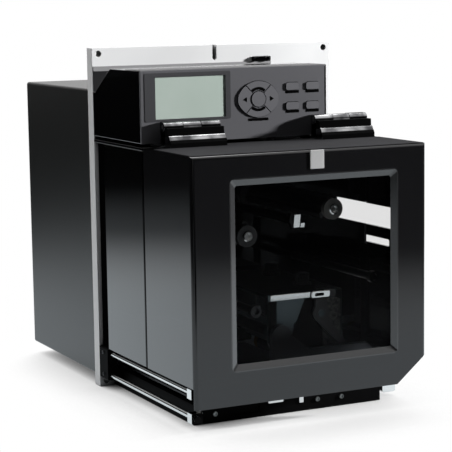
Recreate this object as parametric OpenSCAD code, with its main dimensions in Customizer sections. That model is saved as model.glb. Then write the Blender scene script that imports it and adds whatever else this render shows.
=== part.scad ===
// Thermal transfer print engine. An upright aluminium plate carries the drive and
// the electronics behind it, and the print mechanism, the media path, the control
// panel and a lifting door in front of it. Rollers and spindles stand out from the
// plate along Y, and the web runs from left to right under the print head.
// +X is right and +Y is back as seen from the front, and +Z is up. The origin is
// under the middle of the part, on the surface that it stands on.

/* [Main plate] */
// Width of the main plate
plate_w = 236; // [232:1:250]
// Height of the main plate
plate_h = 300; // [296:1:320]
// Thickness of the main plate
plate_t = 12; // [8:0.5:16]
// Radius of the four mounting holes
hole_r = 2.75; // [2:0.25:3]
// Mounting holes in from the side edges
hole_in_x = 6; // [5:0.5:8]
// Mounting holes in from the top and bottom edges
hole_in_z = 5; // [4:0.25:5.5]
// Width of the open slot in the top edge
top_slot_w = 4; // [2:0.5:8]
// Depth of the open slot in the top edge
top_slot_d = 13.5; // [6:0.5:14]
// Width of the cable window behind the control panel
cable_window_w = 34; // [20:1:50]
// Height of the cable window
cable_window_h = 16; // [10:1:24]

/* [Compartment] */
// Width of the compartment and its door
front_w = 213.5; // [206:0.5:216]
// Depth from the plate to the door's front
front_depth = 200; // [190:1:215]
// Depth of the fixed side panels
side_depth = 105; // [95:1:112]
// Wall of the panels and the door
wall = 2.5; // [2:0.25:3.5]
// Height of the compartment's top
front_top = 221; // [216:0.5:224]
// Bottom edge of the side walls
side_bottom = 38; // [36:0.5:46]
// Bottom edge of the door's front
door_bottom = 21.4; // [18:0.2:28]
// Gap at the seam between the door and the fixed panels
seam_gap = 3.2; // [0.4:0.1:4]
// Width of the cut corner at the door's lower right
corner_cut_x = 28; // [15:1:32]
// Height of the cut corner
corner_cut_z = 23; // [15:1:28]
// Radius of the door's front edges
door_edge_r = 3.5; // [2.5:0.25:5]
// Depth of the recessed strip beside the plate
strip_d = 22; // [14:1:30]
// How far the strip is set in from the side
strip_inset = 6; // [3:0.5:8]
// Thickness of the black liner on the plate
liner_t = 2; // [1:0.25:3]

/* [Hand slots] */
// Bottom of the wide slot in the right wall
slot_low = 143.5; // [138:0.5:150]
// Height of the wide slot
slot_h = 18.5; // [10:0.5:24]
// Distance of the wide slot's rear end from the plate
slot_back = 54; // [40:1:70]
// Distance of the wide slot's front end from the plate
slot_front = 172; // [140:1:180]
// Bottom of the narrow slot in the door's right wall
narrow_low = 128; // [120:0.5:130]
// Height of the narrow slot
narrow_h = 6; // [4:0.5:10]
// Length of the narrow slot
narrow_len = 38; // [20:1:50]

/* [Window] */
// Left edge of the trim from the door's left edge
window_in_x = 32.5; // [26:0.5:36]
// Width of the trim's outer edge
window_w = 154; // [140:1:158]
// Bottom of the trim's outer edge
window_low = 48; // [46:0.5:54]
// Height of the trim's outer edge
window_h = 154; // [140:1:160]
// Width of the bevelled trim
trim_w = 6; // [4:0.5:9]
// Corner radius of the trim's outer edge
trim_r = 5; // [4.5:0.5:9]
// Corner radius of the trim's bevel
trim_in_r = 2.2; // [2.2:0.1:3]
// Flat rim in front of the trim's bevel
trim_rim = 1; // [1:0.1:2]
// Thickness of the clear pane
pane_t = 2; // [1.5:0.25:3]
// How far the pane laps behind the door's front
pane_lap = 5; // [3:0.5:7]

/* [Control panel] */
// Width of the control panel
panel_w = 175.7; // [170:0.1:186]
// Depth of the control panel
panel_depth = 105.5; // [105.5:0.5:108]
// Top of the control panel
panel_top = 283.5; // [280:0.5:286]
// Gap under the control panel
panel_gap = 3; // [2.8:0.2:5]
// Thickness of the panel's face
bezel_t = 2.5; // [2:0.25:4]
// Bevel on the panel's right front edge
panel_bevel = 4.4; // [2:0.2:6]
// Depth of the sloping cut beside the plate
panel_cut_d = 35; // [20:1:45]
// Height of the sloping cut
panel_cut_h = 21; // [10:1:26]
// Width of the display
lcd_w = 64; // [56:0.5:68]
// Height of the display
lcd_h = 34.5; // [28:0.5:38]
// Left edge of the display from the panel's left edge
lcd_in = 13; // [10:0.5:16]
// Top edge of the display below the panel's top
lcd_drop = 5.5; // [5:0.5:9]
// Middle of the arrow pad from the panel's left edge
pad_x = 107.4; // [104:0.2:110]
// Half width of the arrow pad
pad_a = 20.5; // [18:0.5:21]
// Half height of the arrow pad
pad_b = 15.5; // [14:0.5:17]
// Radius of the middle key
select_r = 6.5; // [5:0.5:8]
// Width of a function button
button_w = 13; // [10:0.5:15]
// Height of a function button
button_h = 7; // [5:0.5:9]
// Step between the function buttons, across
button_dx = 19.4; // [17:0.2:21]
// Step between the function buttons, up
button_dz = 16.6; // [13:0.2:19]
// Left column of buttons from the panel's left edge
button_x = 140; // [138:0.5:143]
// Travel of every key
key_travel = 0.8; // [0.4:0.1:1.5]
// How far a key stands proud of the face
key_proud = 0.9; // [0.9:0.1:2.5]

/* [Door hinges] */
// Width of one hinge
hinge_w = 51; // [40:1:60]
// Left edge of the left hinge from the door's left edge
hinge_in = 16.5; // [10:0.5:24]
// Distance between the two hinges' left edges
hinge_step = 141; // [120:1:145]
// Height of the hinge pin above the compartment's top
pin_up = 16.5; // [14:0.5:20]
// Distance of the hinge pin in front of the control panel
pin_out = 5.2; // [4.8:0.2:8]
// Radius of the hinge pin
hinge_pin_r = 1.8; // [1.2:0.1:2.2]
// Radius of the hinge barrels
barrel_r = 4; // [3.5:0.1:4.5]
// Thickness of the hinge leaves
leaf_t = 2.4; // [1.6:0.2:2.6]

/* [Electronics cover] */
// Depth of the electronics cover
cover_depth = 160; // [150:1:180]
// Width of the electronics cover
cover_w = 230; // [224:1:232]
// Bottom of the electronics cover
cover_bottom = 10; // [9:0.5:10.5]
// Top of the electronics cover
cover_top = 264.4; // [258:0.2:280]
// Sheet thickness of the cover
sheet_t = 1.2; // [0.8:0.1:1.5]
// Width of the cover's bent flanges
flange_w = 9; // [6:0.5:10]
// How far the rear panel is set in
rear_recess = 5; // [4.5:0.5:8]
// Thickness of the rear panel
rear_t = 1.5; // [1:0.1:2]

/* [Rollers] */
// Platen roller, distance from the compartment's left edge
platen_in = 162; // [156:1:168]
// Height of the platen roller's axis
platen_z = 25; // [24:0.5:27]
// Radius of the platen roller
platen_r = 9; // [7.5:0.25:9.5]
// Radius of the platen shaft
platen_shaft_r = 4; // [3:0.25:4.5]
// Peel roller to the right of the platen
peel_dx = 22; // [21:0.5:26]
// Peel roller below the platen
peel_dz = 5; // [4:0.5:6]
// Radius of the peel roller
peel_r = 6; // [5:0.25:6.5]
// Radius of the peel roller's shaft
peel_shaft_r = 3; // [2:0.25:3.5]
// Radius of the pinch roller
pinch_r = 5; // [4:0.25:5.5]
// Radius of the pinch roller's axle
pinch_axle_r = 2; // [1.5:0.25:2.5]
// Depth from the plate to the outer bearing plate's front
mech_depth = 150; // [145:1:160]
// Thickness of the outer bearing plate
outer_t = 5; // [4:0.5:7]

/* [Print head] */
// Head pivot to the left of the platen
pivot_dx = 58; // [54:1:62]
// Height of the head pivot above the platen
pivot_dz = 37; // [34:1:42]
// Radius of the head pivot shaft
pivot_r = 5; // [4:0.25:6]
// Width of the head bracket
head_w = 71; // [66:1:74]
// Height of the head bracket's top
head_top = 95; // [92:1:102]
// Gap between the head bracket and the outer bearing plate
head_front_gap = 5; // [4.5:0.5:8]
// Gap between the head bracket and the main plate
head_back_gap = 14; // [13:0.5:20]
// Sheet thickness of the head bracket
head_sheet = 2.5; // [2:0.25:3]
// Gap between the head and the platen
head_gap = 0.4; // [0.3:0.1:1]
// Radius of the latch's pivot stud
latch_stud_r = 3; // [2.5:0.25:3.5]
// Thickness of the latch lever
latch_t = 3; // [2:0.25:3.5]

/* [Ribbon spindles] */
// Supply spindle, distance from the compartment's left edge
supply_in = 73; // [66:1:80]
// Height of the supply spindle
supply_z = 148; // [144:1:154]
// Take-up spindle, distance from the compartment's left edge
takeup_in = 154; // [148:1:158]
// Height of the take-up spindle
takeup_z = 165; // [160:1:170]
// Radius of the spindle's core
spindle_core_r = 7.5; // [6.5:0.25:8.5]
// Radius over the spindle's blades
spindle_r = 11.5; // [10:0.25:12.5]
// Radius of the spindle's shaft
spindle_shaft_r = 4; // [3:0.25:5]
// Depth from the plate to the spindle's end
spindle_depth = 150; // [130:1:160]

/* [Drive] */
// Motor to the left of the platen
motor_dx = 34; // [30:1:40]
// Motor above the platen
motor_dz = 60; // [55:1:70]
// Side of the square motor
motor_side = 57; // [50:1:60]
// Length of the motor
motor_len = 46; // [36:1:60]
// Radius of the motor's pulley
motor_pulley_r = 6; // [5:0.25:7]
// Radius of the platen's pulley
platen_pulley_r = 8; // [7:0.25:9]
// Radius of the peel roller's pulley
peel_pulley_r = 6; // [5:0.25:6.5]
// Width of the belt
belt_w = 7; // [5:0.5:9]
// Thickness of the belt
belt_t = 1.4; // [1:0.1:1.5]

/* [Media inlet] */
// Radius of the polished guide rods
rod_r = 2.25; // [1.75:0.25:2.5]
// Rods in from the compartment's left edge
rod_in = 4; // [3.5:0.25:6]
// Height of the upper rod
upper_rod_z = 33; // [32:0.5:33.5]
// Height of the lower rod
lower_rod_z = 13.5; // [13:0.5:15]
// Depth from the plate to the rods' free ends
rod_depth = 195; // [180:1:195]
// Width of the rod bracket
bracket_w = 15; // [12:0.5:18]
// Depth of the rod bracket
bracket_d = 19; // [12:0.5:22]
// Length of the sliding guide along the rods
guide_len = 8; // [6:0.5:12]
// Depth of the lower frame in front of the plate
frame_d = 165; // [162:1:175]
// Height of the lower frame's front wall
frame_h = 17; // [12:0.5:18]
// Thickness of the lower frame
frame_t = 4; // [3:0.5:5]

/* [Clearances] */
// Radial clearance of a shaft that turns in a bore
run_gap = 0.05; // [0.02:0.01:0.1]
// Clearance of a piece that is seated in a hole
seat_gap = 0.02; // [0.01:0.01:0.05]
// Clearance between a moving piece and its neighbour
free_gap = 0.4; // [0.3:0.05:0.6]

/* [Hidden] */
$fn = 48;
x_left = -plate_w / 2;
x_right = x_left + front_w;
y_plate = (front_depth - plate_t - cover_depth) / 2;
y_back = y_plate + plate_t;
y_end = y_back + cover_depth;
y_front = y_plate - front_depth;
y_seam = y_plate - side_depth;
y_door = y_seam - seam_gap;
y_panel = y_plate - panel_depth;
y_bezel = y_panel + bezel_t;
y_outer = y_plate - mech_depth;
y_outer_in = y_outer + outer_t;
y_liner = y_plate - liner_t;
z_panel = front_top + panel_gap;
side_flange = 8;
top_flange = 9;
top_flange_gap = 2;
slot_over = 8;
slot_r = 2;
panel_cut_in = 5;
x_panel = x_left + panel_w;

platen_x = x_left + platen_in;
peel_x = platen_x + peel_dx;
peel_z = platen_z - peel_dz;
pinch_angle = -30;
pinch_reach = peel_r + pinch_r + free_gap;
pinch_x = peel_x + pinch_reach * cos(pinch_angle);
pinch_z = peel_z + pinch_reach * sin(pinch_angle);
pivot_x = platen_x - pivot_dx;
pivot_z = platen_z + pivot_dz;
supply_x = x_left + supply_in;
takeup_x = x_left + takeup_in;
motor_x = platen_x - motor_dx;
motor_z = platen_z + motor_dz;
spindle_end = y_plate - spindle_depth;

// Each plate bearing is [x, z, shaft radius]
bearing_wall = 4;
turning = [
    [platen_x, platen_z, platen_shaft_r],
    [peel_x, peel_z, peel_shaft_r],
    [supply_x, supply_z, spindle_shaft_r],
    [takeup_x, takeup_z, spindle_shaft_r]
];
outer_turning = [turning[0], turning[1]];

// Belt plane behind the plate
belt_start = y_back + 7;
belt_end = belt_start + belt_w;
pulley_lip = 1;
motor_face = belt_end + 9;
motor_plate_t = 2.5;

// Rear panel inside the cover's rear lip
x_cover = x_left;
x_cover_r = x_left + cover_w;
rear_out = y_end - rear_recess;
rear_lip = rear_out - sheet_t;
rear_in = rear_lip - rear_t;
inlet_dx = 40;
inlet_dz = 44;
inlet_x = x_cover + inlet_dx;
inlet_z = cover_bottom + inlet_dz;
inlet_w = 30;
inlet_h = 52;
inlet_rim = 2.5;
inlet_rim_t = 3;
inlet_body = 24;
socket_drop = 2.5;
socket_w = 23;
socket_h = 15.5;
socket_cut = 4.5;
socket_d = 16;
switch_d = 12;
blade_drop = 8.5;
blade_step = 6;
blade_w = 2;
blade_h = 4;
blade_len = 14;
rocker_dz = 14;
rocker_z = inlet_z + rocker_dz;
rocker_w = 13;
rocker_h = 19;
rocker_angle = 10;
port_depth = 12;
board_t = 1.6;
board_y = rear_in - port_depth - board_t;
// Each port is [x from the cover's right edge, height, width, depth of the shell's slope]
ports = [
    [62, 60, 66, 3],
    [62, 100, 53, 3],
    [44, 140, 31, 3],
    [44, 180, 39, 3]
];
port_h = 13;
board_in = 8;
board_w = 104;
board_lift = 40;
board_h = 165;
standoff_in = 5;
standoff_r = 2.5;
chip_t = 3;
chip_side = 32;
chip_dx = 20;
chip_dz = 60;
memory_dx = 18;
memory_dz = 110;
memory_step = 18;
memory_w = 13;
memory_h = 8;
plug_t = 11;
plug_in = 12;
top_plug_w = 48;
top_plug_h = 10;
low_plug_w = 32;
low_plug_h = 9;
capacitor_r = 7;
capacitor_h = 18;
capacitor_in = 20;
capacitor_dz = 30;
capacitor_step = 22;

// Power supply and ribbon gear motors behind the plate
psu_in = 12;
psu_w = 64;
psu_lift = 8;
psu_h = 104;
psu_d = 52;
psu_wall = 1.2;
psu_ear = 8;
psu_rail_in = 4;
psu_rail_h = 6;
psu_hole_r = 3;
psu_hole_dx = 10;
psu_hole_dz = 11.5;
psu_hole_in_x = 12;
psu_hole_in_z = 17;
gear_r = 19;
gear_len = 16;
gear_motor_r = 14;
gear_motor_len = 34;
gear_boss_r = 5;
gear_boss_len = 3;
gear_bore_d = 12;

// Cable window and the vents of the cover and the rear panel
cable_in = 60;
cable_up = 14;
vent_w = 3.5;
vent_step = 8;
side_vent_in = 40;
side_vent_h = 46;
side_vent_low = 60;
side_vent_drop = 110;
top_vent_x = 80;
top_vent_in = 30;
top_vent_len = 40;
rear_vent_w = 4;
rear_vent_step = 9;
rear_vent_x = 22;
rear_vent_drop = 30;
rear_vent_h = 60;

// Control panel keys
lcd_x = x_left + lcd_in;
lcd_z = panel_top - lcd_drop - lcd_h;
pad_cx = x_left + pad_x;
pad_lift = 3;
pad_cz = (z_panel + panel_top) / 2 + pad_lift;
pad_arc = (pad_a * pad_a + pad_b * pad_b) / (2 * pad_b);
key_lip = 1.2;
key_lip_t = 1.2;
select_proud = 0.4;
plunger_r = 1.5;
nav_reach = (select_r + pad_b) / 2;
lcd_t = 7;
lcd_frame = 2;
lcd_sink = 0.3;
key_board_in = 4;
key_board_gap = 2;
key_plug_t = 9;
key_plug_x = 60;
key_plug_w = 34;
key_plug_up = 12;
key_plug_h = 8;
button_lift = 1.3;
button_cz = pad_cz + button_lift;
buttons = [for (row = [1, 0], col = [0, 1])
    [x_left + button_x + col * button_dx, button_cz + (row - 0.5) * button_dz]];

// Hinge pin of the door
pin_y = y_panel - pin_out;
pin_z = front_top + pin_up;
hinges = [x_left + hinge_in, x_left + hinge_in + hinge_step];
knuckle_w = hinge_w / 3;

// Print head
head_in = y_plate - head_back_gap;
head_out = y_outer_in + head_front_gap;
ear_wall = 2.5;
head_x = pivot_x - pivot_r - ear_wall;
head_low = platen_z + platen_r + head_gap;
outer_ear = 4;
ear_r = pivot_r + outer_ear;
latch_in = 49;
latch_drop = 19;
latch_x = head_x + latch_in;
latch_z = head_top - latch_drop;
post_dx = 16;
post_dz = 17;
post_x = platen_x + post_dx;
post_z = platen_z + post_dz;
post_r = 3;
knob_len = 14;
toggle_dx = 14;
toggle_in = 34;
toggle_x = platen_x - toggle_dx;
toggles = [head_out + toggle_in, head_in - toggle_in];
toggle_stem_r = 3;
toggle_r = 6;
toggle_flange_r = 8;
toggle_flange_t = 3;
knurl_h = 7;
knurl_r = 0.8;
knurl_out = 0.3;
sink_left = 26;
sink_right = 8;
sink_t = 8;
fin_step = 6.2;
fin_w = 2.5;
fin_h = 12;
ceramic_t = 4;
ceramic_in = 4;
ceramic_left = 8;
ceramic_edge = 1.5;
print_line = 2;
rib_len = 6;
rib_in = 12;
rib_sink = 1;

// Pinch arm pivot
arm_x = pinch_x + 10;
arm_z = pinch_z - 7;
arm_r = 2.5;
arm_t = 4;

// Media inlet
rod_x = x_left + rod_in;
bracket_low = hole_in_z + hole_r + 1.25;
guide_start = y_plate - rod_depth + 2;
frame_x0 = x_left + bracket_w;
frame_x1 = peel_x + 6;
frame_front = y_plate - frame_d;
web_z = platen_z + platen_r - 9;

// Edges of the window's trim
win_x0 = x_left + window_in_x;
win_x1 = win_x0 + window_w;
win_z0 = window_low;
win_z1 = window_low + window_h;

// Posts that the ribbon runs over, as [x, z]
post_bar_r = 3.5;
left_post_dx = 22;
left_post_dz = 22;
right_post_dx = 34;
right_post_dz = 78;
top_post_dx = 46;
top_post_dz = 10;
posts = [[pivot_x - left_post_dx, pivot_z + left_post_dz],
    [platen_x + right_post_dx, platen_z + right_post_dz],
    [supply_x + top_post_dx, supply_z + top_post_dz]];

// A flat shape in X and Z, drawn from y0 back to y1
module along_y(y0, y1) {
    translate([0, y1, 0]) rotate([90, 0, 0]) linear_extrude(y1 - y0) children();
}

// A flat shape in Y and Z, drawn from x0 to x1
module along_x(x0, x1) {
    translate([x0, 0, 0]) rotate([90, 0, 90]) linear_extrude(x1 - x0) children();
}

// A flat shape in X and Y, drawn from z0 to z1
module along_z(z0, z1) {
    translate([0, 0, z0]) linear_extrude(z1 - z0) children();
}

// A rectangle given by its edges
module rect(a0, a1, b0, b1) {
    translate([a0, b0]) square([a1 - a0, b1 - b0]);
}

// A rectangle with round corners
module round_rect(a0, a1, b0, b1, r) {
    rect(a0 + r, a1 - r, b0, b1);
    rect(a0, a1, b0 + r, b1 - r);
    for (a = [a0 + r, a1 - r], b = [b0 + r, b1 - r]) translate([a, b]) circle(r);
}

// A round bar along Y
module bar(x, z, r, y0, y1) {
    along_y(y0, y1) translate([x, z]) circle(r);
}

// A round tube along Y
module tube(x, z, r_out, r_in, y0, y1) {
    along_y(y0, y1) translate([x, z]) difference() {
        circle(r_out);
        circle(r_in);
    }
}

// A row of upright slots with round ends
module slot_row(a0, step, count, b0, b1, w) {
    for (i = [0 : count - 1]) round_rect(a0 + i * step, a0 + i * step + w, b0, b1, w / 2 - 0.01);
}

module main_plate() {
    color("gainsboro") along_y(y_plate, y_back) difference() {
        rect(x_left, -x_left, 0, plate_h);
        for (x = [x_left + hole_in_x, -x_left - hole_in_x], z = [hole_in_z, plate_h - hole_in_z])
            translate([x, z]) circle(hole_r);
        translate([0, plate_h - top_slot_d + top_slot_w / 2]) circle(top_slot_w / 2);
        rect(-top_slot_w / 2, top_slot_w / 2, plate_h - top_slot_d + top_slot_w / 2, plate_h + 1);
        for (b = turning) translate([b[0], b[1]]) circle(b[2] + bearing_wall + seat_gap);
        translate([pivot_x, pivot_z]) circle(pivot_r + seat_gap);
        translate([arm_x, arm_z]) circle(arm_r + run_gap);
        round_rect(x_left + cable_in, x_left + cable_in + cable_window_w, z_panel + cable_up,
            z_panel + cable_up + cable_window_h, 3);
    }
}

module electronics_cover() {
    color("dimgray") {
        difference() {
            along_y(y_back, y_end) difference() {
                round_rect(x_cover, x_cover_r, cover_bottom, cover_top, 2 * sheet_t);
                round_rect(x_cover + sheet_t, x_cover_r - sheet_t, cover_bottom + sheet_t,
                    cover_top - sheet_t, sheet_t);
            }
            along_x(x_cover_r - 2 * sheet_t, x_cover_r + 1)
                for (z = [cover_bottom + side_vent_low, cover_top - side_vent_drop])
                    slot_row(y_back + side_vent_in, vent_step, 12, z, z + side_vent_h, vent_w);
            along_z(cover_top - 2 * sheet_t, cover_top + 1)
                slot_row(x_cover_r - top_vent_x, vent_step, 8, y_end - top_vent_in - top_vent_len,
                    y_end - top_vent_in, vent_w);
        }
        for (y = [y_back, rear_lip]) along_y(y, y + sheet_t) difference() {
            rect(x_cover + sheet_t, x_cover_r - sheet_t, cover_bottom + sheet_t,
                cover_top - sheet_t);
            round_rect(x_cover + flange_w, x_cover_r - flange_w, cover_bottom + sheet_t + 0.4,
                cover_top - flange_w, 2);
            rect(x_cover + flange_w, x_cover_r - flange_w, cover_bottom + sheet_t - 1,
                cover_bottom + sheet_t + 8);
        }
    }
}

// Outline of a D-shaped connector shell, wider at the top
module d_shell(w, h, slope) {
    polygon([[-w / 2 + slope, -h / 2], [w / 2 - slope, -h / 2], [w / 2, h / 2], [-w / 2, h / 2]]);
}

// The rear panel's cut-outs, each wider than its connector by the gap
module port_places(gap, lip) {
    for (p = ports) translate([x_cover_r - p[0], cover_bottom + p[1]])
        d_shell(p[2] - 10 + 2 * gap + 2 * lip, port_h + 2 * gap + 2 * lip, p[3]);
}

module rear_panel() {
    color("darkgray") along_y(rear_in, rear_lip) difference() {
        rect(x_cover + sheet_t + free_gap, x_cover_r - sheet_t - free_gap,
            cover_bottom + sheet_t + free_gap, cover_top - sheet_t - free_gap);
        rect(inlet_x - inlet_w / 2 + inlet_rim, inlet_x + inlet_w / 2 - inlet_rim,
            inlet_z - inlet_h / 2 + inlet_rim, inlet_z + inlet_h / 2 - inlet_rim);
        port_places(free_gap, 0);
        slot_row(x_cover + rear_vent_x, rear_vent_step, 10, cover_top - rear_vent_drop - rear_vent_h,
            cover_top - rear_vent_drop, rear_vent_w);
    }
}

// Mains inlet with three blades in a recess, and the frame of the switch above it
module power_inlet() {
    half_w = inlet_w / 2 - inlet_rim - seat_gap;
    half_h = inlet_h / 2 - inlet_rim - seat_gap;
    top = inlet_z - socket_drop;
    half = socket_w / 2;
    face = rear_lip + inlet_rim_t;
    color("black") {
        difference() {
            union() {
                along_y(rear_lip, face) round_rect(inlet_x - inlet_w / 2,
                    inlet_x + inlet_w / 2, inlet_z - inlet_h / 2, inlet_z + inlet_h / 2, 3);
                along_y(rear_lip - inlet_body, rear_lip) rect(inlet_x - half_w, inlet_x + half_w,
                    inlet_z - half_h, inlet_z + half_h);
            }
            along_y(rear_lip - socket_d, face + 1) polygon([
                [inlet_x - half, top - socket_h], [inlet_x + half, top - socket_h],
                [inlet_x + half, top - socket_cut], [inlet_x + half - socket_cut, top],
                [inlet_x - half + socket_cut, top], [inlet_x - half, top - socket_cut]]);
            along_y(rear_lip - switch_d, face + 1) rect(inlet_x - rocker_w / 2 - free_gap,
                inlet_x + rocker_w / 2 + free_gap, rocker_z - rocker_h / 2 - free_gap,
                rocker_z + rocker_h / 2 + free_gap);
        }
        for (i = [-1, 0, 1]) translate([inlet_x + i * blade_step - blade_w / 2,
            rear_lip - socket_d, top - blade_drop - blade_h / 2]) cube([blade_w, blade_len, blade_h]);
    }
}

// Rocker with two sloping faces that turns on pins across the switch frame
module power_rocker() {
    color("darkslategray") along_x(inlet_x - rocker_w / 2, inlet_x + rocker_w / 2)
        translate([rear_lip - 2, rocker_z]) rotate(-rocker_angle / 2) intersection() {
            circle(rocker_h / 2 - 0.6);
            polygon([[-4, -rocker_h / 2], [-4, rocker_h / 2], [4.4, rocker_h / 2], [2.4, 0],
                [4.4, -rocker_h / 2]]);
        }
}

// Connector shells that stand on the logic board and pass through the rear panel
module port_connectors() {
    color("silver") {
        difference() {
            union() {
                along_y(rear_in, rear_out + 2) port_places(0, 0);
                along_y(rear_in - port_depth, rear_in) port_places(0, 2);
            }
            along_y(rear_out + 1, rear_out + 3) port_places(-1.2, 0);
        }
    }
}

// Logic board on standoffs that stand on the rear panel's inner face
module logic_board() {
    board_x1 = x_cover_r - board_in;
    board_x0 = board_x1 - board_w;
    board_z0 = cover_bottom + board_lift;
    board_z1 = board_z0 + board_h;
    near = standoff_in;
    color("darkgreen") {
        along_y(board_y, board_y + board_t) rect(board_x0, board_x1, board_z0, board_z1);
        for (x = [board_x0 + near, board_x1 - near], z = [board_z0 + near, board_z1 - near])
            bar(x, z, standoff_r, board_y + board_t, rear_in);
        along_y(board_y - chip_t, board_y) {
            translate([board_x0 + chip_dx, board_z0 + chip_dz]) square(chip_side);
            for (i = [0 : 3]) translate([board_x0 + memory_dx + i * memory_step,
                board_z0 + memory_dz]) square([memory_w, memory_h]);
        }
        along_y(board_y - plug_t, board_y) {
            translate([board_x0 + plug_in, board_z1 - 2 * top_plug_h])
                square([top_plug_w, top_plug_h]);
            translate([board_x0 + plug_in, board_z0 + plug_in]) square([low_plug_w, low_plug_h]);
        }
        for (i = [0 : 2]) bar(board_x1 - capacitor_in,
            board_z0 + capacitor_dz + i * capacitor_step, capacitor_r, board_y - capacitor_h, board_y);
    }
}

// Power supply in a perforated cage, fixed to the back of the plate
module power_supply() {
    x0 = x_cover + psu_in;
    x1 = x0 + psu_w;
    z0 = cover_bottom + psu_lift;
    z1 = z0 + psu_h;
    y0 = y_back + sheet_t;
    y1 = y_back + psu_d;
    w = psu_wall;
    color("lightgray") difference() {
        along_z(z0, z1) difference() {
            rect(x0, x1, y0, y1);
            rect(x0 + w, x1 - w, y0 + w, y1 - w);
        }
        along_y(y1 - 2 * w, y1 + 1) for (i = [0 : 4], j = [0 : 6])
            translate([x0 + psu_hole_in_x + i * psu_hole_dx, z0 + psu_hole_in_z + j * psu_hole_dz])
                circle(psu_hole_r);
    }
    color("lightgray") {
        along_y(y_back, y0) rect(x0 - psu_ear + flange_w, x1 + psu_ear, z0, z1);
        for (z = [z0 + psu_rail_in, z1 - psu_rail_in - psu_rail_h])
            along_z(z, z + psu_rail_h) rect(x0 + w, x1 - w, y0 + w, y1 - w);
    }
}

// Motor plate on three posts, which leaves room for the belt beneath
module motor_bracket() {
    half = motor_side / 2 + 3;
    color("lightsteelblue") {
        along_y(motor_face, motor_face + motor_plate_t) difference() {
            translate([motor_x, motor_z]) round_rect(-half, half, -half, half, 5);
            translate([motor_x, motor_z]) circle(motor_pulley_r + pulley_lip + 2);
        }
        for (d = [[-1, 1], [1, 1], [-1, -1]])
            bar(motor_x + d[0] * (half - 5), motor_z + d[1] * (half - 5), 3.5, y_back, motor_face);
    }
}

// Square stepper motor with cut corners and two end caps
module drive_motor() {
    half = motor_side / 2;
    cut = 7;
    y0 = motor_face + motor_plate_t;
    caps = [[y0, y0 + 10, 0], [y0 + 10, y0 + motor_len - 10, 1.2],
        [y0 + motor_len - 10, y0 + motor_len, 0]];
    color("dimgray") difference() {
        for (c = caps) along_y(c[0], c[1]) translate([motor_x, motor_z]) difference() {
            s = half - c[2];
            polygon([[-s + cut, -s], [s - cut, -s], [s, -s + cut], [s, s - cut], [s - cut, s],
                [-s + cut, s], [-s, s - cut], [-s, -s + cut]]);
        }
        bar(motor_x, motor_z, 3 + run_gap, y0 - 1, y0 + 20);
    }
}

// A toothed pulley with a flange on each side
module pulley(x, z, r, y0, y1, teeth) {
    along_y(y0, y1) translate([x, z]) difference() {
        circle(r);
        for (i = [0 : teeth - 1]) rotate(i * 360 / teeth) translate([r, 0]) circle(r * 1.1 / teeth);
    }
    for (y = [y0 - pulley_lip, y1]) bar(x, z, r + pulley_lip, y, y + pulley_lip);
}

module motor_pulley() {
    color("silver") {
        pulley(motor_x, motor_z, motor_pulley_r, belt_start, belt_end, 16);
        bar(motor_x, motor_z, 3, belt_start - 4, motor_face + motor_plate_t + 19);
    }
}

// Loop round the three pulleys, at the given distance from their rims
module belt_loop(d) {
    hull() {
        translate([motor_x, motor_z]) circle(motor_pulley_r + d);
        translate([platen_x, platen_z]) circle(platen_pulley_r + d);
        translate([peel_x, peel_z]) circle(peel_pulley_r + d);
    }
}

module drive_belt() {
    color("black") along_y(belt_start + free_gap, belt_end - free_gap) difference() {
        belt_loop(free_gap + belt_t, $fn = 32);
        belt_loop(free_gap, $fn = 32);
    }
}

// Gear motors behind the plate, one on each ribbon spindle's shaft
module ribbon_motors() {
    y_gear = y_back + gear_len;
    y_motor = y_gear + gear_motor_len;
    color("gray") for (b = [turning[2], turning[3]]) difference() {
        union() {
            bar(b[0], b[1], gear_r, y_back, y_gear);
            bar(b[0], b[1], gear_motor_r, y_gear, y_motor);
            bar(b[0], b[1], gear_boss_r, y_motor, y_motor + gear_boss_len);
        }
        bar(b[0], b[1], b[2] + free_gap, y_back - 1, y_back + gear_bore_d);
    }
}

// Bushes for the turning shafts, in the main plate and in the outer bearing plate
module bearings() {
    color("darkkhaki") {
        for (b = turning) tube(b[0], b[1], b[2] + bearing_wall, b[2] + run_gap, y_plate, y_back);
        for (b = outer_turning)
            tube(b[0], b[1], b[2] + bearing_wall - 1, b[2] + run_gap, y_outer, y_outer_in);
    }
}

// Black liner that covers the plate inside the compartment
module inner_liner() {
    color("black") along_y(y_liner, y_plate) difference() {
        rect(x_left + strip_inset + wall + free_gap, x_right - wall - free_gap,
            side_bottom + 2, front_top - wall - free_gap);
        for (b = turning) translate([b[0], b[1]]) circle(b[2] + bearing_wall + 1);
        translate([pivot_x, pivot_z]) circle(pivot_r + 1);
        for (p = posts) translate([p[0], p[1]]) circle(post_bar_r + 0.6);
    }
}

// Left side: a flat panel and a set-in strip beside the plate
module left_side_panel() {
    x0 = x_left;
    color("black") along_z(side_bottom, front_top - wall) polygon([
        [x0, y_seam], [x0 + wall, y_seam], [x0 + wall, y_plate - strip_d - wall],
        [x0 + strip_inset + wall, y_plate - strip_d - wall], [x0 + strip_inset + wall, y_plate],
        [x0 + strip_inset, y_plate], [x0 + strip_inset, y_plate - strip_d],
        [x0, y_plate - strip_d]]);
}

// Right side with the rear end of the wide hand slot, open at the seam
module right_side_panel() {
    color("black") {
        along_x(x_right - wall, x_right) difference() {
            rect(y_seam, y_plate, side_bottom, front_top - wall);
            round_rect(y_seam - slot_over, y_plate - slot_back, slot_low, slot_low + slot_h, slot_r);
        }
        along_y(y_plate - wall, y_plate)
            rect(x_right, x_right + side_flange, side_bottom, front_top - wall);
    }
}

module top_panel() {
    color("black") {
        along_z(front_top - wall, front_top) rect(x_left, x_right, y_seam, y_plate);
        along_y(y_plate - wall, y_plate)
            rect(x_panel + top_flange_gap, x_right, front_top, front_top + top_flange);
    }
}

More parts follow.
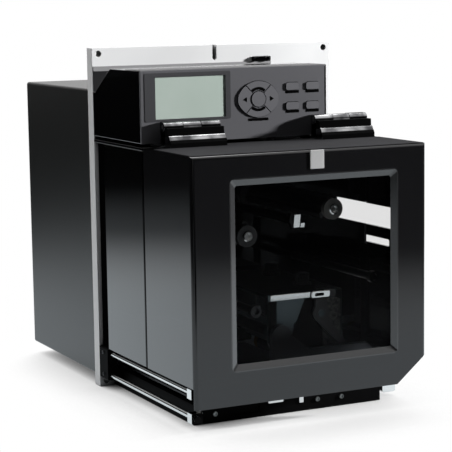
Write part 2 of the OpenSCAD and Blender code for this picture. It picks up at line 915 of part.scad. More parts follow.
// Side outline of the control panel, with the sloping cut beside the plate
module panel_side(in, y0) {
    polygon([[y0, z_panel + in], [y_plate + in, z_panel + in],
        [y_plate + in, panel_top - panel_cut_h - in], [y_plate - panel_cut_in, panel_top - panel_cut_h - in],
        [y_plate - panel_cut_in - panel_cut_d, panel_top - in], [y0, panel_top - in]]);
}

// Top outline of the control panel, with the bevel at the right front edge
module panel_plan(in, y0, y1) {
    polygon([[x_left + in, y0], [x_panel - panel_bevel - in, y0],
        [x_panel - in, y0 + panel_bevel], [x_panel - in, y1], [x_left + in, y1]]);
}

module control_housing() {
    color("black") difference() {
        intersection() {
            along_x(x_left, x_panel) panel_side(0, y_bezel);
            along_z(z_panel, panel_top) panel_plan(0, y_panel, y_plate);
        }
        intersection() {
            along_x(x_left, x_panel) panel_side(wall, y_bezel - 1);
            along_z(z_panel, panel_top) panel_plan(wall, y_panel - 1, y_plate + wall);
        }
    }
}

// Outline of the whole arrow pad: two arcs that meet at its ends
module pad_outline(in) {
    intersection() {
        translate([0, pad_b - pad_arc]) circle(pad_arc - in);
        translate([0, pad_arc - pad_b]) circle(pad_arc - in);
        circle(pad_a - 1 - in);
    }
}

module panel_face() {
    color("gray") difference() {
        intersection() {
            along_y(y_panel, y_bezel) rect(x_left, x_panel, z_panel, panel_top);
            along_z(z_panel, panel_top) panel_plan(0, y_panel, y_plate);
        }
        along_y(y_panel - 1, y_bezel + 1) {
            rect(lcd_x, lcd_x + lcd_w, lcd_z, lcd_z + lcd_h);
            translate([pad_cx, pad_cz]) pad_outline(0);
            for (b = buttons) translate([b[0], b[1]]) round_rect(-button_w / 2, button_w / 2,
                -button_h / 2, button_h / 2, 2);
        }
    }
}

// Display: a frame behind the face and a glass that fills its opening
module lcd_module() {
    color("darkseagreen") {
        along_y(y_bezel, y_bezel + lcd_t) rect(lcd_x - lcd_frame, lcd_x + lcd_w + lcd_frame,
            lcd_z - lcd_frame, lcd_z + lcd_h + lcd_frame);
        along_y(y_panel + lcd_sink, y_bezel) rect(lcd_x + seat_gap, lcd_x + lcd_w - seat_gap,
            lcd_z + seat_gap, lcd_z + lcd_h - seat_gap);
    }
}

// Board behind the display and the keys
module panel_board() {
    color("darkgreen") {
        along_y(y_bezel + lcd_t, y_bezel + lcd_t + board_t) rect(
            x_left + wall + key_board_in, x_panel - panel_bevel - wall - key_board_gap,
            z_panel + wall + key_board_in, panel_top - wall - key_board_gap);
        along_y(y_bezel + lcd_t + board_t, y_bezel + lcd_t + key_plug_t)
            rect(x_left + key_plug_x, x_left + key_plug_x + key_plug_w,
                z_panel + key_plug_up, z_panel + key_plug_up + key_plug_h);
    }
}

// A key's plunger, which reaches back to just before the board
module plunger() {
    bar(0, 0, plunger_r, y_bezel + key_lip_t, y_bezel + lcd_t - key_travel - free_gap);
}

// One quarter of the arrow pad, from the middle key's gap out to the rim
module nav_quarter(turn, in) {
    difference() {
        intersection() {
            pad_outline(in);
            rotate(turn) polygon([[0, 0], [40, -40], [40, 40]]);
        }
        circle(select_r + 2 * free_gap);
        for (a = [45, 135]) rotate(a) rect(-40, 40, -free_gap, free_gap);
    }
}

module nav_key(turn) {
    color("silver") translate([pad_cx, 0, pad_cz]) {
        along_y(y_panel - key_proud, y_bezel) nav_quarter(turn, free_gap);
        along_y(y_bezel, y_bezel + key_lip_t) nav_quarter(turn, -key_lip);
        translate([nav_reach * cos(turn), 0, nav_reach * sin(turn)]) plunger();
    }
}

module nav_right() { nav_key(0); }
module nav_up() { nav_key(90); }
module nav_left() { nav_key(180); }
module nav_down() { nav_key(270); }

module nav_select() {
    color("silver") {
        bar(pad_cx, pad_cz, select_r, y_panel - key_proud - select_proud, y_bezel + key_lip_t);
        translate([pad_cx, 0, pad_cz]) plunger();
    }
}

module function_button(place) {
    color("silver") translate([place[0], 0, place[1]]) {
        along_y(y_panel - key_proud, y_bezel) round_rect(-button_w / 2 + free_gap,
            button_w / 2 - free_gap, -button_h / 2 + free_gap, button_h / 2 - free_gap, 1.6);
        along_y(y_bezel, y_bezel + key_lip_t) round_rect(-button_w / 2 - key_lip,
            button_w / 2 + key_lip, -button_h / 2 - key_lip, button_h / 2 + key_lip, 2);
        plunger();
    }
}

module feed_button() { function_button(buttons[0]); }
module pause_button() { function_button(buttons[1]); }
module cancel_button() { function_button(buttons[2]); }
module setup_button() { function_button(buttons[3]); }

// Fixed half of each hinge: a foot under the control panel, an upright and two knuckles
module hinge_brackets() {
    up_y = y_panel - free_gap;
    color("black") for (x = hinges) difference() {
        union() {
            along_x(x, x + hinge_w) polygon([[y_seam + 20, front_top],
                [y_seam + 20, front_top + leaf_t], [up_y, front_top + leaf_t], [up_y, pin_z],
                [up_y - 1.6, pin_z], [up_y - 1.6, front_top + 1], [y_seam, front_top + 1],
                [y_seam, front_top]]);
            for (k = [0, 2]) along_x(x + k * knuckle_w, x + (k + 1) * knuckle_w) {
                translate([pin_y, pin_z]) circle(barrel_r);
                rect(pin_y, up_y, pin_z - 1, pin_z + barrel_r);
            }
        }
        along_x(x - 1, x + hinge_w + 1) translate([pin_y, pin_z])
            circle(hinge_pin_r + seat_gap);
        along_x(x + knuckle_w, x + 2 * knuckle_w) translate([pin_y, pin_z])
            circle(barrel_r + free_gap);
    }
}

module hinge_pins() {
    color("silver") for (x = hinges) along_x(x, x + hinge_w) translate([pin_y, pin_z])
        circle(hinge_pin_r);
}

// Moving half of each hinge: a foot on the door, a stepped body and the middle knuckle
module hinge_leaves() {
    step_y = pin_y - barrel_r - 3;
    foot_y = step_y - 9;
    step_z = front_top + 9;
    color("black") for (x = hinges) difference() {
        union() {
            along_x(x, x + hinge_w) {
                polygon([[foot_y, front_top], [foot_y, front_top + 4], [foot_y + 3, step_z],
                    [step_y + 3, step_z], [step_y + 3, front_top]]);
                translate([foot_y + 5, step_z - 1.4]) circle(2.6);
            }
            along_x(x + knuckle_w + free_gap, x + 2 * knuckle_w - free_gap) {
                translate([pin_y, pin_z]) circle(barrel_r);
                polygon([[step_y, step_z - 2], [pin_y - barrel_r + 0.6, pin_z + 2],
                    [pin_y + 1, pin_z - barrel_r + 0.4], [step_y + 3, step_z - 2]]);
            }
        }
        along_x(x - 1, x + hinge_w + 1) translate([pin_y, pin_z])
            circle(hinge_pin_r + run_gap);
    }
}

// Front outline of the door with the cut corner, drawn inside the outside by the given wall
module door_outline(in) {
    cut = norm([corner_cut_x, corner_cut_z]);
    cut_foot = x_right - corner_cut_x - in * cut / corner_cut_z;
    slope = corner_cut_z / corner_cut_x;
    polygon([[x_left + in, door_bottom], [cut_foot, door_bottom],
        [x_right - in, door_bottom + (x_right - in - cut_foot) * slope],
        [x_right - in, front_top - in], [x_left + in, front_top - in]]);
}

// Top outline of the door with round front edges
module door_plan(in) {
    r = max(door_edge_r - in, 0.5);
    difference() {
        union() {
            round_rect(x_left + in, x_right - in, y_front + in, y_door + r + 1, r);
        }
        rect(x_left - 1, x_right + 1, y_door + (in > 0 ? 5 : 0), y_door + 20);
    }
}

// Side outline of the door with a round upper front edge
module door_side(in) {
    r = max(door_edge_r - in, 0.5);
    difference() {
        round_rect(y_front + in, y_door + 10, door_bottom - 10 - r, front_top - in, r);
        rect(y_door + (in > 0 ? 5 : 0), y_door + 20, door_bottom - 20, front_top + 1);
    }
}

module door_solid(in) {
    intersection() {
        along_y(y_front, y_door + 5) door_outline(in);
        along_z(door_bottom - 6, front_top) door_plan(in);
        along_x(x_left, x_right) door_side(in);
    }
}

module door_shell() {
    color("black") difference() {
        door_solid(0);
        door_solid(wall);
        along_x(x_left - 1, x_right + 1) rect(y_front + wall, y_door + 6, door_bottom - 8,
            side_bottom);
        along_y(y_front - 1, y_front + wall + 1) round_rect(win_x0, win_x1, win_z0, win_z1, trim_r);
        along_x(x_right - wall - 1, x_right + 1) {
            round_rect(y_plate - slot_front, y_door + 8, slot_low, slot_low + slot_h, 2);
            round_rect(y_door - narrow_len, y_door + 8, narrow_low, narrow_low + narrow_h, 1.5);
        }
    }
}

// Bevelled ring that lines the window opening, in front of the pane
module window_trim() {
    g = seat_gap;
    color("gray") difference() {
        along_y(y_front, y_front + wall) round_rect(win_x0 + g, win_x1 - g, win_z0 + g, win_z1 - g,
            trim_r - g);
        translate([(win_x0 + win_x1) / 2, y_front - 0.01, (win_z0 + win_z1) / 2])
            rotate([-90, 0, 0]) linear_extrude(wall + 0.02,
                scale = [(window_w - 2 * trim_w) / (window_w - 2 * trim_rim),
                    (window_h - 2 * trim_w) / (window_h - 2 * trim_rim)])
                round_rect(-window_w / 2 + trim_rim, window_w / 2 - trim_rim, -window_h / 2 + trim_rim,
                    window_h / 2 - trim_rim, trim_in_r, $fn = 32);
    }
}

module door_window() {
    color("lightblue", 0.3) along_y(y_front + wall, y_front + wall + pane_t) round_rect(
        win_x0 - pane_lap, win_x1 + pane_lap, win_z0 - pane_lap, win_z1 + pane_lap, trim_r);
}

// Shallow tray that stands on the surface and carries the outer bearing plate
module lower_frame() {
    color("black") {
        along_z(0, frame_t) rect(frame_x0, frame_x1, frame_front, y_plate);
        along_z(frame_t, frame_h) {
            difference() {
                rect(frame_x0, frame_x1, frame_front, frame_front + frame_t);
                rect(frame_x0 + 30, frame_x0 + 60, frame_front - 1, frame_front + 1.5);
            }
            rect(frame_x0, frame_x0 + frame_t, frame_front, y_plate);
        }
    }
}

// Polished posts that the ribbon runs over, with a retainer on the top one
module ribbon_posts() {
    color("silver") for (p = posts) {
        bar(p[0], p[1], post_bar_r, y_plate - mech_depth + 6, y_plate);
        tube(p[0], p[1], post_bar_r + 1.6, post_bar_r - 0.5, y_plate - mech_depth + 3,
            y_plate - mech_depth + 9);
    }
    color("silver") along_y(y_plate - mech_depth + 3, y_plate - mech_depth + 5) difference() {
        p = posts[2];
        rect(p[0] - 4, p[0] + 7, p[1] - 7, p[1] + 5);
        rect(p[0] + 2.5, p[0] + 8, p[1] - 2.5, p[1] + 6);
    }
}

// Plate at the outer ends of the rollers, with an ear for the head pivot
module outer_bearing_plate() {
    top = platen_z + 23;
    left = pivot_x - ear_r;
    right = peel_x + 26;
    color("dimgray") {
        along_y(y_outer, y_outer_in) difference() {
            union() {
                polygon([[left, frame_t], [right, frame_t], [right, peel_z + 6],
                    [post_x + 8, top], [pivot_x + 26, top], [pivot_x + ear_r, pivot_z],
                    [left, pivot_z]]);
                translate([pivot_x, pivot_z]) circle(ear_r);
            }
            translate([pivot_x, pivot_z]) circle(pivot_r + seat_gap);
            for (b = outer_turning) translate([b[0], b[1]])
                circle(b[2] + bearing_wall - 1 + seat_gap);
            translate([arm_x, arm_z]) circle(arm_r + run_gap);
        }
        bar(post_x, post_z, post_r, y_outer_in, y_outer_in + 4.5);
    }
}

// Bent sheet under the web, on two legs that stand on the lower frame
module web_guide() {
    x0 = x_left + 18;
    x1 = platen_x - platen_r - 8;
    t = 1.5;
    color("slategray") along_y(y_outer_in, y_plate) polygon([
        [x0, web_z - 4], [x0 + 10, web_z], [x1, web_z], [x1, frame_t], [x1 - t, frame_t],
        [x1 - t, web_z - t], [x0 + 16 + t, web_z - t], [x0 + 16 + t, frame_t],
        [x0 + 16, frame_t], [x0 + 16, web_z - t], [x0 + 10, web_z - t], [x0, web_z - 4 - t]]);
}

// Thin blade past the platen, over which the label leaves its liner
module peel_bar() {
    top = platen_z + platen_r - 1;
    x0 = platen_x + platen_r + 2.5;
    tip = pinch_x + 4;
    color("silver") along_y(y_outer_in, y_plate) polygon([[x0, top - 5], [x0, top], [tip, top],
        [tip + 0.8, top - 0.7], [tip + 0.8, top - 1.5], [tip, top - 2.2], [x0 + 4, top - 5]]);
}

module head_pivot_shaft() {
    color("silver") bar(pivot_x, pivot_z, pivot_r, y_outer, y_back);
}

// Folded bracket: a top, a back flange, two end plates and ears round the pivot shaft
module head_bracket() {
    x0 = head_x;
    x1 = head_x + head_w;
    end = [[x0 + 3, head_low + 14], [x1 - 6, head_low + 8], [x1, head_low + 14],
        [x1, head_top], [x0, head_top], [x0, head_low + 20]];
    color("lightslategray") difference() {
        union() {
            along_y(head_out, head_in) rect(x0, x1, head_top - head_sheet, head_top);
            along_y(head_out, head_in) rect(x1 - head_sheet, x1, head_low + 34, head_top);
            for (y = [head_out, head_in - head_sheet]) along_y(y, y + head_sheet) polygon(end);
            for (y = [head_out, head_in - 8]) along_y(y, y + 8) translate([pivot_x, pivot_z])
                circle(pivot_r + 3);
            bar(latch_x, latch_z, latch_stud_r, head_out - latch_t - 2 * free_gap, head_out);
        }
        bar(pivot_x, pivot_z, pivot_r + run_gap, head_out - 1, head_in + 1);
        for (y = toggles) translate([toggle_x, y, head_top - head_sheet - 1])
            cylinder(r = toggle_stem_r + seat_gap, h = head_sheet + 2);
        along_y(head_out - 1, head_out + head_sheet + 1)
            round_rect(x0 + 24, x0 + 40, head_low + 24, head_low + 36, 3);
    }
}

// Heat sink with fins, and the ceramic strip with the print line under it
module printhead() {
    x0 = platen_x - sink_left;
    x1 = platen_x + sink_right;
    y0 = head_out + head_sheet + free_gap;
    y1 = head_in - head_sheet - free_gap;
    base = head_low + ceramic_t;
    fins = base + sink_t;
    color("silver") {
        along_y(y0, y1) {
            rect(x0, x1, base, fins);
            for (i = [0 : 5]) rect(x0 + i * fin_step, x0 + i * fin_step + fin_w, fins, fins + fin_h);
        }
        along_y(y0 + ceramic_in, y1 - ceramic_in) polygon([[x0 + ceramic_left, base], [x1, base],
            [x1, head_low + ceramic_edge], [platen_x + print_line, head_low],
            [platen_x - print_line, head_low], [x0 + ceramic_left + print_line, head_low + print_line]]);
        for (y = [y0, y1 - rib_len]) along_y(y, y + rib_len) rect(x0 + rib_in, x1 - rib_in,
            fins + fin_h - rib_sink, head_top - head_sheet);
    }
}

// Two spring toggles that press on the head, with knurled adjusters above the bracket
module pressure_toggles() {
    low = head_low + ceramic_t + sink_t + fin_h + free_gap;
    color("dimgray") for (y = toggles) translate([toggle_x, y, 0]) {
        translate([0, 0, low]) cylinder(r = toggle_r, h = head_top - head_sheet - low);
        translate([0, 0, low]) cylinder(r = toggle_stem_r, h = head_top + toggle_flange_t + 1 - low);
        translate([0, 0, head_top]) cylinder(r = toggle_flange_r, h = toggle_flange_t);
        translate([0, 0, head_top + toggle_flange_t]) difference() {
            cylinder(r = toggle_r, h = knurl_h);
            for (a = [0 : 30 : 330]) rotate(a) translate([toggle_r + knurl_out, 0, -1])
                cylinder(r = knurl_r, h = knurl_h + 2);
        }
    }
}

// Lever on the head's end plate: a hook for the post below and a knob above
module head_latch() {
    y1 = head_out - free_gap;
    y0 = y1 - latch_t;
    toe = post_z - post_r - 1;
    color("darkslategray") {
        along_y(y0, y1) difference() {
            union() {
                translate([latch_x, latch_z]) circle(8);
                polygon([[latch_x - 6, latch_z], [latch_x + 6, latch_z],
                    [latch_x + 5, head_top + 3], [latch_x - 5, head_top + 3]]);
                polygon([[latch_x - 5, latch_z - 6], [latch_x + 6, latch_z - 5],
                    [post_x - post_r - 1, post_z + 3], [post_x - post_r - 1, toe], [post_x, toe],
                    [post_x, toe - 4], [post_x - post_r - 6, toe - 4],
                    [post_x - post_r - 8, post_z + 2]]);
            }
            translate([latch_x, latch_z]) circle(latch_stud_r + run_gap);
        }
        along_y(y0 - knob_len, y0) round_rect(latch_x - 6, latch_x + 6, head_top - 3, head_top + 4,
            2.5);
    }
}

module platen_roller() {
    color("black") tube(platen_x, platen_z, platen_r, platen_shaft_r + seat_gap,
        y_outer_in + 6, y_liner - 6);
}

module platen_shaft() {
    color("silver") {
        bar(platen_x, platen_z, platen_shaft_r, y_outer, belt_end + 2);
        tube(platen_x, platen_z, platen_shaft_r + 2, platen_shaft_r, y_outer_in + free_gap,
            y_outer_in + 6);
        pulley(platen_x, platen_z, platen_pulley_r, belt_start, belt_end, 22);
    }
}

module peel_roller() {
    color("black") tube(peel_x, peel_z, peel_r, peel_shaft_r + seat_gap, y_outer_in + 6,
        y_liner - 6);
}

module peel_shaft() {
    color("silver") {
        bar(peel_x, peel_z, peel_shaft_r, y_outer, belt_end + 2);
        pulley(peel_x, peel_z, peel_pulley_r, belt_start, belt_end, 16);
    }
}

// Yoke of the pinch roller: two end plates, a tie bar and a forked thumb piece in front
module pinch_arm() {
    y0 = y_outer_in + free_gap;
    y1 = y_liner - free_gap - 2;
    color("gainsboro") {
        for (y = [y0, y1 - arm_t]) along_y(y, y + arm_t) difference() {
            union() {
                translate([arm_x, arm_z]) circle(arm_r + 2);
                translate([pinch_x, pinch_z]) circle(pinch_axle_r + 2);
                polygon([[pinch_x - 1, pinch_z - pinch_axle_r - 1.6], [arm_x - 2, arm_z - 3],
                    [arm_x + 3, arm_z + 3], [pinch_x + 1, pinch_z + pinch_axle_r + 1.8]]);
            }
            translate([pinch_x, pinch_z]) circle(pinch_axle_r + run_gap);
        }
        bar(arm_x, arm_z, arm_r, y_outer - 6, y_plate + 6);
        along_y(y_outer - 6, y_outer - free_gap) difference() {
            round_rect(arm_x - 6, arm_x + 7, arm_z - 4, arm_z + 14, 2);
            rect(arm_x - 1.5, arm_x + 2.5, arm_z + 5, arm_z + 15);
        }
    }
}

module pinch_roller() {
    y0 = y_outer_in + free_gap;
    y1 = y_liner - free_gap - 2;
    color("black") {
        bar(pinch_x, pinch_z, pinch_r, y0 + arm_t + free_gap, y1 - arm_t - free_gap);
        bar(pinch_x, pinch_z, pinch_axle_r, y0, y1);
    }
}

// Ribbon spindle: a shaft through the plate, a clutch disc and a core with blades
module spindle(b) {
    core_end = y_liner - 6;
    bar(b[0], b[1], b[2], spindle_end + 6, y_back + gear_bore_d - 1);
    bar(b[0], b[1], spindle_r + 5, core_end, y_liner - free_gap);
    along_y(spindle_end + 5, core_end) translate([b[0], b[1]]) {
        circle(spindle_core_r);
        for (a = [90, 210, 330]) rotate(a) rect(0, spindle_r, -2.2, 2.2);
    }
    bar(b[0], b[1], 3, spindle_end + 1, spindle_end + 6);
}

// End cap of a ribbon spindle, with a finger recess
module spindle_cap(b) {
    difference() {
        bar(b[0], b[1], spindle_r - 2.5, spindle_end, spindle_end + 5);
        bar(b[0], b[1], 3 + seat_gap, spindle_end + 1, spindle_end + 6);
        bar(b[0], b[1], 5.5, spindle_end - 1, spindle_end + 0.6);
    }
}

module supply_spindle() { color("black") spindle(turning[2]); }
module supply_cap() { color("gray") spindle_cap(turning[2]); }
module takeup_spindle() { color("black") spindle(turning[3]); }
module takeup_cap() { color("gray") spindle_cap(turning[3]); }

// Block on the plate that holds the two guide rods
module guide_bracket() {
    color("black") along_y(y_plate - bracket_d, y_plate) difference() {
        round_rect(x_left, x_left + bracket_w, bracket_low, side_bottom - free_gap, 1.5);
        for (z = [upper_rod_z, lower_rod_z]) translate([rod_x, z]) circle(rod_r + seat_gap);
        rect(x_left + rod_in + rod_r + 3, x_left + bracket_w + 1, lower_rod_z + 6,
            upper_rod_z - 6);
    }
}

module guide_rods() {
    color("silver") for (z = [upper_rod_z, lower_rod_z])
        bar(rod_x, z, rod_r, y_plate - rod_depth, y_plate);
}

// Edge guide that slides on both rods, with a collar on each
module media_guide() {
    y0 = guide_start;
    y1 = guide_start + guide_len;
    collar = min(rod_r + 2, side_bottom - upper_rod_z - free_gap, rod_in - 0.1);
    color("gainsboro") along_y(y0, y1) difference() {
        union() {
            for (z = [upper_rod_z, lower_rod_z]) rect(rod_x - collar, rod_x + rod_r + 3.5,
                z - rod_r - 2, z + collar);
            rect(rod_x + rod_r + 2, rod_x + rod_r + 3.5, lower_rod_z, upper_rod_z);
        }
        for (z = [upper_rod_z, lower_rod_z]) translate([rod_x, z]) circle(rod_r + run_gap);
    }
}

main_plate();
electronics_cover();
rear_panel();
power_inlet();
power_rocker();
port_connectors();
logic_board();
power_supply();
motor_bracket();
drive_motor();
motor_pulley();
drive_belt();
ribbon_motors();
bearings();
inner_liner();
left_side_panel();
right_side_panel();
top_panel();
control_housing();
panel_face();
lcd_module();
panel_board();
nav_up();
nav_down();
nav_left();
nav_right();
nav_select();
feed_button();
pause_button();
cancel_button();
setup_button();
hinge_brackets();
hinge_pins();
hinge_leaves();
door_shell();
window_trim();
door_window();
lower_frame();
outer_bearing_plate();
web_guide();
peel_bar();
ribbon_posts();
head_pivot_shaft();
head_bracket();
printhead();
pressure_toggles();
head_latch();
platen_roller();
platen_shaft();
peel_roller();
peel_shaft();
pinch_arm();
pinch_roller();
supply_spindle();
supply_cap();
takeup_spindle();
takeup_cap();
guide_bracket();
guide_rods();
media_guide();
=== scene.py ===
# %% [markdown]
# # A plate-mounted thermal transfer print engine
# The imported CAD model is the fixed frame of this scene. Plates, rollers, keys and door walls are CAD nodes
# already, so this script gives them finishes and adds what CAD leaves out: fasteners, films, seals, marks, a
# bare badge plate and the studio. Blender counts in metres; small pieces are given in millimetres and scaled
# as they are built.

# %% Load the frame
import math

import bmesh
import bpy
from mathutils import Matrix, Vector
from mathutils.bvhtree import BVHTree


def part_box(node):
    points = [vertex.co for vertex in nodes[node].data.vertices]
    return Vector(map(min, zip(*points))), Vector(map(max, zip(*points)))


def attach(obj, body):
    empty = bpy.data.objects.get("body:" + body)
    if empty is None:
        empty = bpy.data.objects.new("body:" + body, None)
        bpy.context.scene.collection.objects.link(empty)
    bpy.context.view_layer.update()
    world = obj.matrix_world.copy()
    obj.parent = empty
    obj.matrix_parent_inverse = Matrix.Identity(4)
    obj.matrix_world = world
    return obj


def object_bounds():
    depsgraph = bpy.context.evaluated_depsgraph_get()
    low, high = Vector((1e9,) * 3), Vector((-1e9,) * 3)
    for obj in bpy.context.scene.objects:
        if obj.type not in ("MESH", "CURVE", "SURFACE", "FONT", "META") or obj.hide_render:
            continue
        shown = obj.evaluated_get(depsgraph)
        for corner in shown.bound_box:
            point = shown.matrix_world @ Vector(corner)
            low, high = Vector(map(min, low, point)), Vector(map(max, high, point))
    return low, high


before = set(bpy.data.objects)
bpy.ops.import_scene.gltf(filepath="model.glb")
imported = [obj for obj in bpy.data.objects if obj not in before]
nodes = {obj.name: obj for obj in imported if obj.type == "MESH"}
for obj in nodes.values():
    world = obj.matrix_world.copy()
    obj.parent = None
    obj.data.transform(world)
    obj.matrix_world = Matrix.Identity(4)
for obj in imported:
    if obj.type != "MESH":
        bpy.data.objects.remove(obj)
cad_low, cad_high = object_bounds()
scene = bpy.context.scene
MM = 0.001


def in_mm(vector):
    """A vector in metres as rounded millimetres."""
    return [round(value / MM, 1) for value in vector]


print("CAD box in mm:", in_mm(cad_high - cad_low))

# %% [markdown]
# ## The camera
# The photograph was taken with a long lens, a little above the object and 26 degrees to its left. A camera
# can be aimed by hand or fitted to known corners. Here it was fitted to the plate, the door and the panel: a
# place, three turns and a focal length, with no shift of the lens.

# %% Camera
CAMERA_PLACE = Vector((-0.6441, -1.3233, 0.3392))
CAMERA_YAW, CAMERA_PITCH, CAMERA_ROLL = (math.radians(turn) for turn in (26.03, 7.81, -0.87))
SENSOR_MM, FOCAL_PIXELS, FRAME_PIXELS, NEAREST_SEEN = 36.0, 1643.3, 452, 0.05

lens = bpy.data.cameras.new("photo_camera")
lens.sensor_width = SENSOR_MM
lens.lens = FOCAL_PIXELS / FRAME_PIXELS * SENSOR_MM
lens.clip_start = NEAREST_SEEN
camera = bpy.data.objects.new("photo_camera", lens)
scene.collection.objects.link(camera)
camera_turn = Matrix.Rotation(-CAMERA_YAW, 4, "Z") @ Matrix.Rotation(math.pi / 2 - CAMERA_PITCH, 4, "X")
camera.matrix_world = Matrix.Translation(CAMERA_PLACE) @ camera_turn @ Matrix.Rotation(CAMERA_ROLL, 4, "Z")
scene.camera = camera
print("lens in mm:", round(lens.lens, 1))

# %% [markdown]
# ## Helpers for node materials
# A finish is a small tree of shader nodes. It could be set up by hand for each, but these helpers make the
# nodes, set plain values on their sockets and join them, so that a finish below reads as a short list.

# %% Material helpers
# A Mix node has sockets for numbers, vectors and colours; these are the places of the ones for colours.
MIX_FACTOR, MIX_FIRST, MIX_SECOND, MIX_RESULT = 0, 6, 7, 2
MICRON = 0.000001


def new_finish(name):
    """A node material with a Principled shader joined to its output."""
    finish = bpy.data.materials.new(name)
    finish.use_nodes = True
    tree = finish.node_tree
    tree.nodes.clear()
    output = tree.nodes.new("ShaderNodeOutputMaterial")
    shader = tree.nodes.new("ShaderNodeBsdfPrincipled")
    tree.links.new(shader.outputs["BSDF"], output.inputs["Surface"])
    return finish, tree, shader


def add_node(tree, kind, values=None, links=None):
    """One shader node with its values set and its inputs joined."""
    node = tree.nodes.new("ShaderNode" + kind)
    for key, value in (values or {}).items():
        if isinstance(key, int) or key in node.inputs:
            node.inputs[key].default_value = value
        else:
            setattr(node, key, value)
    for key, source in (links or {}).items():
        tree.links.new(source, node.inputs[key])
    return node


def place_on_object(tree, stretch=(1, 1, 1)):
    """Object coordinates in metres, stretched along X, Y and Z."""
    spot = add_node(tree, "TexCoord")
    mapping = add_node(tree, "Mapping", {"Scale": stretch}, {"Vector": spot.outputs["Object"]})
    return mapping.outputs["Vector"]


def noise(tree, spot, scale, detail=2.0, roughness=0.5):
    """A noise pattern's factor at that many cells to the metre."""
    values = {"Scale": scale, "Detail": detail, "Roughness": roughness}
    return add_node(tree, "TexNoise", values, {"Vector": spot}).outputs["Fac"]


def spread(tree, factor, low, high, start=0.0, end=1.0, way="LINEAR"):
    """A factor moved from the range start to end into the range low to high."""
    values = {"interpolation_type": way, "From Min": start, "From Max": end, "To Min": low, "To Max": high}
    return add_node(tree, "MapRange", values, {"Value": factor}).outputs["Result"]


def blend_colours(tree, factor, first, second):
    """A colour between two others, each a value or another node's output."""
    mix = add_node(tree, "Mix", {"data_type": "RGBA"}, {MIX_FACTOR: factor})
    for place, colour in ((MIX_FIRST, first), (MIX_SECOND, second)):
        if isinstance(colour, tuple):
            mix.inputs[place].default_value = (*colour, 1)
        else:
            tree.links.new(colour, mix.inputs[place])
    return mix.outputs[MIX_RESULT]


def add_grain(tree, shader, tones, broad, fine, roughness, swing, depth, strength):
    """Two tones in broad patches, and a fine grain in the roughness and in a relief in microns."""
    tree.links.new(blend_colours(tree, broad, *tones), shader.inputs["Base Color"])
    tree.links.new(spread(tree, fine, roughness - swing, roughness + swing), shader.inputs["Roughness"])
    bump = add_node(tree, "Bump", {"Strength": strength, "Distance": depth * MICRON}, {"Height": fine})
    tree.links.new(bump.outputs["Normal"], shader.inputs["Normal"])


def set_values(shader, **values):
    """Plain values on a shader's own sockets, with spaces written as underscores."""
    for key, value in values.items():
        shader.inputs[key.replace("_", " ")].default_value = value


print("material helpers ready")

# %% [markdown]
# ## Metals
# The main plate is milled aluminium with a fine brushed grain, almost white against the black mouldings.
# Rods and spindles are polished steel. A flat grey could do, but the grain tells them apart, so each has
# noise in its roughness and in a shallow relief, drawn out where it was brushed. The plate scatters light
# much as paper does, so it has only a tenth of a metal's mirror, and its holes carry painted shade.

# %% Metal finishes
ACROSS, INWARD, EVEN = (0.05, 1, 1), (1, 0.04, 1), (1, 1, 1)
METAL_SHEEN, METAL_RELIEF = 0.07, 0.5
PATCH_LOW, PATCH_HIGH = 0.36, 0.64


def metal(name, dark, light, roughness, stretch, grain, depth, metallic=1.0, patch=14.0):
    """A metal in patches of two tones, with grain and patches to the metre and a depth in microns."""
    finish, tree, shader = new_finish(name)
    fine = noise(tree, place_on_object(tree, stretch), grain, detail=4.0, roughness=0.6)
    broad = spread(tree, noise(tree, place_on_object(tree), patch), 0.0, 1.0, PATCH_LOW, PATCH_HIGH)
    add_grain(tree, shader, (dark, light), broad, fine, roughness, METAL_SHEEN, depth, METAL_RELIEF)
    set_values(shader, Metallic=metallic)
    return finish


PLATE = metal("plate_aluminium", (0.79, 0.795, 0.8), (0.85, 0.855, 0.86), 0.48, ACROSS, 2600, 30, 0.1)
STEEL = metal("polished_steel", (0.72, 0.72, 0.71), (0.82, 0.82, 0.81), 0.17, INWARD, 3000, 10)
HEAD_SHEET = metal("head_sheet", (0.055, 0.07, 0.076), (0.08, 0.096, 0.102), 0.3, INWARD, 2200, 30)
HEAD_ALUMINIUM = metal("head_aluminium", (0.16, 0.17, 0.17), (0.22, 0.23, 0.23), 0.36, INWARD, 2200, 30)
WEB_STEEL = metal("web_steel", (0.05, 0.05, 0.053), (0.08, 0.08, 0.083), 0.3, INWARD, 2400, 20)
ZINC = metal("zinc_sheet", (0.55, 0.57, 0.6), (0.68, 0.7, 0.72), 0.4, EVEN, 90, 20)
BRONZE = metal("bronze_bush", (0.42, 0.29, 0.14), (0.55, 0.4, 0.21), 0.38, EVEN, 1500, 30)
BLACK_METAL = metal("black_metal", (0.03, 0.03, 0.032), (0.045, 0.045, 0.048), 0.3, EVEN, 1200, 20)
HINGE_METAL = metal("hinge_metal", (0.1, 0.1, 0.105), (0.56, 0.56, 0.57), 0.16, ACROSS, 1800, 10, patch=65.0)
DARK_STEEL = metal("dark_steel", (0.03, 0.03, 0.031), (0.05, 0.05, 0.051), 0.3, INWARD, 2400, 20)
print("metals from", PLATE.name, "to", DARK_STEEL.name)

# %% Painted shade in the plate's bores
BORE_REACH, BORE_SAMPLES = 0.010, 12
BORE_SHADE = (0.02, 0.02, 0.02)
BORE_SHUT, BORE_OPEN = 0.30, 0.62

# Painted shade: the plate's colour darkens near walls and deep in its holes, where little light reaches.
tree = PLATE.node_tree
plate_colour = tree.nodes["Principled BSDF"].inputs["Base Color"]
plate_tone = plate_colour.links[0].from_socket
plate_open = add_node(tree, "AmbientOcclusion", {"Distance": BORE_REACH, "samples": BORE_SAMPLES})
lit_share = spread(tree, plate_open.outputs["AO"], 0.0, 1.0, BORE_SHUT, BORE_OPEN)
tree.links.new(blend_colours(tree, lit_share, BORE_SHADE, plate_tone), plate_colour)
print("the plate darkens within", BORE_REACH / MM, "mm of a wall")

